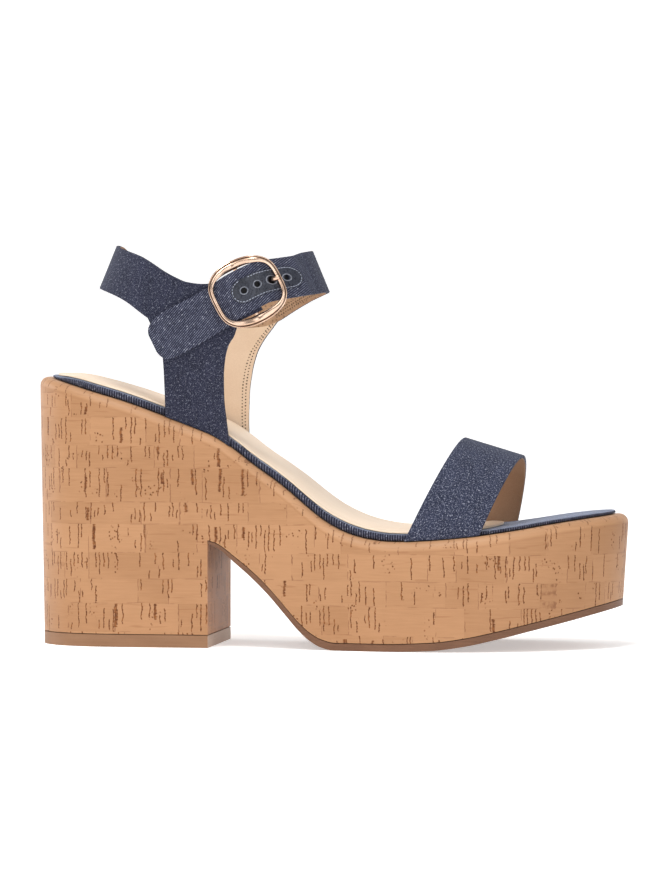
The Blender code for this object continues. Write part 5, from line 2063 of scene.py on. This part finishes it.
@dataclass
class HolePatch:
    """Smooth oval patch round the strap's holes, with raised rims and a stitched outline."""

    ankle: AnkleForm
    radius: float = 0.0047
    skin: float = 0.00024
    above_strap: float = 0.00006
    rear_margin: float = 0.0002
    front_margin: float = 0.0004
    eased: float = 0.0001
    end_turn: float = 0.06
    end_stations: int = 14
    middle_stations: int = 22
    rows: int = 12
    rim_margin: float = 0.00024
    rim_radius: float = 0.00020
    rim_steps: int = 40
    rim_sides: int = 8
    flatness: float = 0.8
    disc_margin: float = 0.0001
    stitch_line: float = 0.9
    stitch_rise: float = 0.00004
    stitch_pitch: float = 0.00125
    stitch_radius: float = 0.00016
    stitch_length: float = 0.00095

    def __post_init__(self) -> None:
        """Places the patch's round ends."""
        self.holes = self.ankle.hole_places()
        self.start = self.holes[0][0] - self.rear_margin
        self.end = self.holes[-1][0] + self.front_margin

    def on_strap(self, ahead: float, up: float, rise: float) -> Vector:
        """Point over the strap's outer face.

        Args:
            ahead: distance ahead of the bar.
            up: distance across.
            rise: height over the patch's foot.

        Returns:
            The point.
        """
        a = self.ankle
        lift = a.strap_lift(ahead / a.buckle_length) + a.form.strap_thickness / 2
        return a.beside(ahead, a.strap_middle(ahead) + up, lift + self.above_strap + rise)

    def patch(self) -> Piece:
        """Builds the patch with its holes.

        Returns:
            The patch, not yet dressed.
        """
        rear = np.linspace(self.end_turn, math.pi / 2, self.end_stations)
        front = np.linspace(0.0, math.pi / 2 - self.end_turn, self.end_stations)
        stations = np.concatenate((
            self.start - self.radius * np.cos(rear),
            np.linspace(self.start, self.end, self.middle_stations)[1:-1],
            self.end + self.radius * np.sin(front),
        ))
        lines, maps = [], []
        count = self.rows + 1
        for ahead in stations:
            past = max(self.start - ahead, ahead - self.end, 0.0)
            half = math.sqrt(self.radius ** 2 - past ** 2)
            ups = np.linspace(-half, half, count)
            lines.append(np.array([self.on_strap(ahead, up, self.skin / 2) for up in ups]))
            maps.append(np.column_stack((np.full(count, ahead), ups)))
        faces = grid_faces(len(lines), count)
        piece = wall_of_grid("hole_patch", lines, maps, faces, self.skin, self.eased)
        for ahead, hole in self.holes:
            carve(piece, self.ankle.punch(ahead, hole))
        return piece

    def rim(self, name: str, ahead: float, hole: float) -> Piece:
        """Raised rim of one hole, and the disc of painted shade that closes the hole's depth.

        Args:
            name: name of the piece.
            ahead: the hole's distance ahead of the centre bar.
            hole: the hole's radius.

        Returns:
            The rim, whose disc has the second material.
        """
        turns = [2 * math.pi * i / self.rim_steps for i in range(self.rim_steps)]
        rolls = [2 * math.pi * j / self.rim_sides for j in range(self.rim_sides)]
        places = []
        for turn in turns:
            for roll in rolls:
                out = hole + self.rim_margin + self.rim_radius * math.cos(roll)
                rise = self.skin + self.rim_radius * self.flatness * math.sin(roll)
                places.append((turn, out, rise))
        depth = -self.ankle.form.strap_thickness * self.flatness
        places += [(turn, hole + self.disc_margin, depth) for turn in turns]
        points = []
        for turn, out, rise in places:
            points.append(self.on_strap(ahead + out * math.cos(turn), out * math.sin(turn), rise))
        faces = grid_faces(self.rim_steps, self.rim_sides, True, True)
        faces.append(tuple(range(len(points) - self.rim_steps, len(points))))
        piece = mesh_object(name, np.array(points), faces)
        set_uv(piece.data, np.zeros((len(piece.data.loops), 2)))
        piece.data.polygons[-1].material_index = 1
        return piece

    def stitches(self, thread: Material) -> Piece:
        """Stitches along the patch's edge, in a thread.

        Args:
            thread: material of the thread.

        Returns:
            The stitches as one piece.
        """
        radius = self.radius * self.stitch_line
        outline = []
        for centre, first in ((self.start, math.pi / 2), (self.end, -math.pi / 2)):
            for turn in np.linspace(first, first + math.pi, 25):
                outline.append((centre + radius * math.cos(turn), radius * math.sin(turn)))
        outline.append(outline[0])
        rise = self.skin + self.stitch_rise
        walk = []
        for (ahead, up), (next_ahead, next_up) in zip(outline, outline[1:]):
            for t in np.linspace(0.0, 1.0, 6)[:-1]:
                place = (ahead + (next_ahead - ahead) * t, up + (next_up - up) * t)
                walk.append(self.on_strap(*place, rise))
        marks = SeamMarks("patch_stitches", self.stitch_radius, self.stitch_length)
        return marks.build(*even_steps(np.array(walk), self.stitch_pitch), thread)

    def build(self, wardrobe: Wardrobe) -> None:
        """Builds and dresses the patch, its rims and its stitches.

        Args:
            wardrobe: materials of the shoe.
        """
        patch = self.patch()
        dress(patch, [wardrobe.patch])
        smooth(patch, 50.0)
        hand_over(patch)
        for index, (ahead, hole) in enumerate(self.holes):
            # Each rim is lighter than the patch as a painted highlight, and its disc is painted
            # shade.
            rim = self.rim(f"hole_rim_{index + 1}", ahead, hole)
            dress(rim, [wardrobe.rim, wardrobe.painted_hole_shade])
            smooth(rim, 60.0)
            hand_over(rim)
        hand_over(self.stitches(wardrobe.pale_thread))


def swept(
    name: str, centres: Array, across: Array, upward: Array, sections: Array,
    closed: bool,
) -> Piece:
    """Solid swept along a path with its own section at each point.

    Args:
        name: name of the object.
        centres: points of the path.
        across: unit vectors of the sections' first direction.
        upward: unit vectors of their second direction.
        sections: for each point, pairs of distances along these directions.
        closed: whether the path is a loop.

    Returns:
        The closed solid.
    """
    count, size = len(centres), sections.shape[1]
    points = centres[:, None] + across[:, None] * sections[:, :, :1]
    points = points + upward[:, None] * sections[:, :, 1:]
    faces = grid_faces(count, size, closed, True)
    if not closed:
        faces.append(tuple(range(size)))
        faces.append(tuple(range((count - 1) * size, count * size)))
    piece = mesh_object(name, points.reshape(-1, 3), faces)
    set_uv(piece.data, np.zeros((len(piece.data.loops), 2)))
    return piece


@dataclass
class Buckle:
    """Rounded square buckle frame with a groove between two bright rims, and its prong."""

    ankle: AnkleForm
    offset: float = 0.0006
    rail_half: float = 0.00185
    rail_inward: float = 0.00045
    end_half: float = 0.00105
    rail_height: float = 0.00100
    end_height: float = 0.00090
    end_squareness: float = 3.4
    rail_squareness: float = 2.2
    section_squareness: float = 2.5
    groove_place: float = 0.36
    groove_width: float = 0.26
    groove_depth: float = 0.62
    rod_end: float = 0.55
    prong_swell: float = 1.5
    steps: int = 200
    section_steps: int = 36

    def frame_path(self) -> Array:
        """Place ahead and up, and share of a rail, at even distances round the frame.

        Returns:
            Rows of place ahead, place up and share of a rail.
        """
        a = self.ankle
        rows = []
        for turn in np.linspace(0.0, 2 * math.pi, 2881):
            c = signed_power(math.cos(turn), 2 / self.rail_squareness)
            s = signed_power(math.sin(turn), 2 / self.end_squareness)
            rail = abs(math.sin(turn)) ** 3
            rows.append((c * a.buckle_length / 2, self.offset + s * a.buckle_width / 2, rail))
        dense = np.array(rows)
        travelled = travel(dense[:, :2])
        even = np.linspace(0.0, travelled[-1], self.steps + 1)[:-1]
        return np.column_stack([np.interp(even, travelled, dense[:, k]) for k in range(3)])

    def frame(self) -> Piece:
        """Builds the frame.

        Returns:
            The frame, not yet dressed.
        """
        a = self.ankle
        power = 2 / self.section_squareness
        centres, ups, sections, depths = [], [], [], []
        for ahead, up, rail in self.frame_path():
            lift = a.frame_lift(ahead / a.buckle_length)
            here = a.beside(ahead, up, lift)
            centres.append(here)
            ups.append((a.beside(ahead, up, lift + 0.001) - here).normalized())
            half = self.end_half + (self.rail_half - self.end_half) * rail
            high = self.end_height + (self.rail_height - self.end_height) * rail
            section = []
            for k in range(self.section_steps):
                roll = 2 * math.pi * k / self.section_steps
                out = half * signed_power(math.cos(roll), power) - self.rail_inward * rail
                rise = high * signed_power(math.sin(roll), power)
                away = (out - half * self.groove_place) / (self.end_half * self.groove_width)
                depth = math.exp(-away * away) if rise > 0 else 0.0
                section.append((out, rise - self.groove_depth * high * depth))
                depths.append(depth)
            sections.append(section)
        centres = np.array(centres)
        ups = np.array(ups)
        tangent = np.roll(centres, -1, axis=0) - np.roll(centres, 1, axis=0)
        across = unit(np.cross(tangent, ups))
        outward = ((centres - centres.mean(axis=0)) * across).sum(axis=1)
        across *= np.sign(np.median(outward))
        piece = swept("gold_buckle_frame", centres, across, ups, np.array(sections), True)
        groove_depth = piece.data.attributes.new("groove", "FLOAT", "POINT")
        groove_depth.data.foreach_set("value", np.array(depths, np.float32))
        return piece

    def rod(
        self,
        name: str,
        path: Sequence[Vector],
        radius: float,
        closed: bool = False,
        end_swell: float = 1.0,
    ) -> Piece:
        """Round rod through points.

        Args:
            name: name of the object.
            path: points of the rod's middle.
            radius: its radius.
            closed: whether it is a loop.
            end_swell: thickness of its far end as share of the radius.

        Returns:
            The closed solid.
        """
        centres = np.array(path)
        if closed:
            tangent = np.roll(centres, -1, axis=0) - np.roll(centres, 1, axis=0)
        else:
            tangent = np.gradient(centres, axis=0)
        tangent = unit(tangent)
        side = np.array(self.ankle.beside(0.0, 0.001) - self.ankle.beside(0.0, -0.001))
        if abs(tangent[0] @ side) > 0.9 * np.linalg.norm(side):
            side = np.array(self.ankle.beside(0.001, 0.0) - self.ankle.beside(-0.001, 0.0))
        upward = unit(np.cross(tangent, side))
        across = np.cross(upward, tangent)
        rolls = np.linspace(0.0, 2 * math.pi, 17)[:-1]
        circle = np.column_stack((np.cos(rolls), np.sin(rolls))) * radius
        swell = 1.0 + (end_swell - 1.0) * np.linspace(0.0, 1.0, len(centres)) ** 3
        sections = circle[None] * swell[:, None, None]
        if not closed:
            sections[0] *= self.rod_end
            sections[-1] *= self.rod_end
        return swept(name, centres, across, upward, sections, closed)

    def prong_path(self) -> list[Vector]:
        """Way of the prong from its bar through the hole and onto the front bar.

        Returns:
            Points of its middle line.
        """
        a = self.ankle
        gap, ring, thick = a.form.clearance, a.prong_ring, a.prong_radius
        middle = a.bar_radius + gap + ring
        hole = a.hole_distance
        up = a.strap_middle(hole)
        under = a.strap_lift(hole / a.buckle_length) - a.form.strap_thickness / 2 - gap - thick
        path = [(middle, 0.0), (hole / 2, 0.0), (hole - 2 * ring, under / 3)]
        for place, rise in PRONG_RISE:
            path.append((hole + place * a.prong_hole_radius, under + rise * a.prong_hole_radius))
        over = a.end_radius + gap + thick
        front = a.buckle_length / 2
        for degrees in (150, 125, 100):
            turn = math.radians(degrees)
            lift = a.frame_lift(0.5) + over * math.sin(turn)
            path.append((front + over * math.cos(turn), lift))
        keys = travel(path)
        tables = [SmoothTable(keys, [pair[k] for pair in path]) for k in range(2)]
        fine = np.linspace(0.0, keys[-1], 60)
        return [a.beside(float(tables[0](t)), up, float(tables[1](t))) for t in fine]

    def build(self, wardrobe: Wardrobe) -> None:
        """Builds and dresses the frame with its centre bar, and the prong with its ring.

        Args:
            wardrobe: materials of the shoe.
        """
        a = self.ankle
        frame_piece = self.frame()
        reach = a.buckle_width / 2
        bar_path = [a.beside(0.0, self.offset + up, 0.0) for up in np.linspace(-reach, reach, 25)]
        bar = self.rod("centre_bar", bar_path, a.bar_radius)
        self.join(frame_piece, bar)
        prong = self.rod("gold_prong", self.prong_path(), a.prong_radius, end_swell=self.prong_swell)
        middle = a.bar_radius + a.form.clearance + a.prong_ring
        up = a.strap_middle(a.hole_distance)
        ring = []
        for turn in np.linspace(0.0, 2 * math.pi, 41)[:-1]:
            ring.append(a.beside(middle * math.cos(turn), up, middle * math.sin(turn)))
        self.join(prong, self.rod("prong_ring", ring, a.prong_ring, closed=True))
        for piece, slot, node in (
            (frame_piece, "buckle_gold", "buckle_frame"), (prong, "prong_gold", "buckle_prong")
        ):
            dress(piece, [wardrobe.gold])
            smooth(piece, 55.0)
            hand_over(piece, [node])

    @staticmethod
    def join(piece: Piece, other: Piece) -> None:
        """Adds another object's mesh to a piece and removes the other.

        Args:
            piece: piece that stays.
            other: piece whose mesh it takes.
        """
        shape = bmesh.new()
        shape.from_mesh(piece.data)
        shape.from_mesh(other.data)
        shape.to_mesh(piece.data)
        shape.free()
        bpy.data.objects.remove(other)


@dataclass
class Studio:
    """Pale sweep, soft lights and the camera at the photograph's angle."""

    azimuth: float = math.radians(8.3)
    elevation: float = math.radians(2.0)
    distance: float = 2.4
    target: tuple[float, float, float] = (0.0016, 0.0, 0.0795)
    focal_pixels: float = 5940.0
    picture_height: float = 896.0
    sensor: float = 36.0
    floor_front: float = -5.0
    floor_end: float = 3.2
    curve_radius: float = 0.8
    wall_height: float = 4.0
    half_width: float = 4.5
    glow: float = 0.42

    def sweep(self) -> None:
        """Floor that curves up into a backdrop."""
        radius = self.curve_radius
        profile = [(self.floor_front, 0.0)]
        for turn in np.linspace(0.0, math.pi / 2, 25):
            away = self.floor_end + radius * math.sin(turn)
            profile.append((away, radius * (1 - math.cos(turn))))
        profile.append((self.floor_end + radius, self.wall_height))
        points = [(x, y, z) for x in (-self.half_width, self.half_width) for y, z in profile]
        count = len(profile)
        faces = [(i, count + i, count + i + 1, i + 1) for i in range(count - 1)]
        sweep = mesh_object("studio_sweep", np.array(points), faces, fix_normals=False)
        b = Board("studio_white")
        grain = b.noise(b.place(), 40.0, 2.0, 0.5)
        colour = b.mix(grain, (0.97, 0.97, 0.97), (0.985, 0.985, 0.985))
        glow = {"Emission_Color": (1.0, 1.0, 1.0), "Emission_Strength": self.glow}
        b.dress(colour, 0.9, Specular_IOR_Level=0.0, **glow)
        sweep.data.materials.append(b.material)
        sweep.data.shade_smooth()

    def light(
        self, name: str, place: Sequence[float], size: float, power: float, colour: Colour
    ) -> None:
        """Square soft light that faces the shoe.

        Args:
            name: name of the light.
            place: its position.
            size: its edge.
            power: its power in watts.
            colour: its colour.
        """
        lamp = bpy.data.lights.new(name, "AREA")
        lamp.size = size
        lamp.energy = power
        lamp.color = colour
        holder = bpy.data.objects.new(name, lamp)
        holder.location = place
        aim = Vector(self.target) - Vector(place)
        holder.rotation_euler = aim.to_track_quat("-Z", "Y").to_euler()
        bpy.context.scene.collection.objects.link(holder)

    def camera(self) -> None:
        """Camera of the photograph."""
        back = Vector((
            math.sin(self.azimuth) * math.cos(self.elevation),
            -math.cos(self.azimuth) * math.cos(self.elevation),
            math.sin(self.elevation),
        ))
        data = bpy.data.cameras.new("camera")
        data.sensor_fit = "VERTICAL"
        data.sensor_height = self.sensor
        data.lens = self.focal_pixels * self.sensor / self.picture_height
        data.clip_end = 50.0
        holder = bpy.data.objects.new("camera", data)
        holder.location = Vector(self.target) + back * self.distance
        holder.rotation_euler = (-back).to_track_quat("-Z", "Y").to_euler()
        bpy.context.scene.collection.objects.link(holder)
        bpy.context.scene.camera = holder

    def world(self) -> None:
        """Soft light from all sides, brighter from above."""
        world = bpy.data.worlds.new("studio_world")
        world.use_nodes = True
        bpy.context.scene.world = world
        sheet = Sheet(world.node_tree)
        way = sheet.node("ShaderNodeTexCoord").outputs["Generated"]
        up = sheet.node("ShaderNodeSeparateXYZ", (way,)).outputs["Z"]
        ramp = sheet.node("ShaderNodeValToRGB", (up,))
        stops = ((0.0, (0.42, 0.41, 0.40, 1.0)), (0.75, (1.0, 1.0, 1.0, 1.0)))
        for element, (position, colour) in zip(ramp.color_ramp.elements, stops):
            element.position = position
            element.color = colour
        sky = world.node_tree.nodes["Background"]
        sheet.feed(sky.inputs["Color"], ramp.outputs[0])
        sheet.feed(sky.inputs["Strength"], 0.50)

    def build(self) -> None:
        """Sets the stage."""
        self.sweep()
        self.world()
        self.camera()
        for light in LIGHTS:
            self.light(*light)
        scene = bpy.context.scene
        scene.view_settings.view_transform = "Standard"
        scene.view_settings.look = "None"
        scene.view_settings.exposure = 0.0
        scene.view_settings.gamma = 1.0


def main() -> None:
    """Builds the dressed shoe and its studio."""
    logging.basicConfig(level=logging.INFO, format="%(name)s %(message)s")
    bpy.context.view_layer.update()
    wardrobe = Wardrobe()
    form = ShoeForm()
    ankle = AnkleForm(form)
    CorkPlatform(form).build(wardrobe)
    Footbed(form).build(wardrobe)
    VampStrap(form).build(wardrobe)
    AnkleUpper(ankle).build(wardrobe)
    HolePatch(ankle).build(wardrobe)
    Buckle(ankle).build(wardrobe)
    Studio().build()


if __name__ == "__main__":
    main()
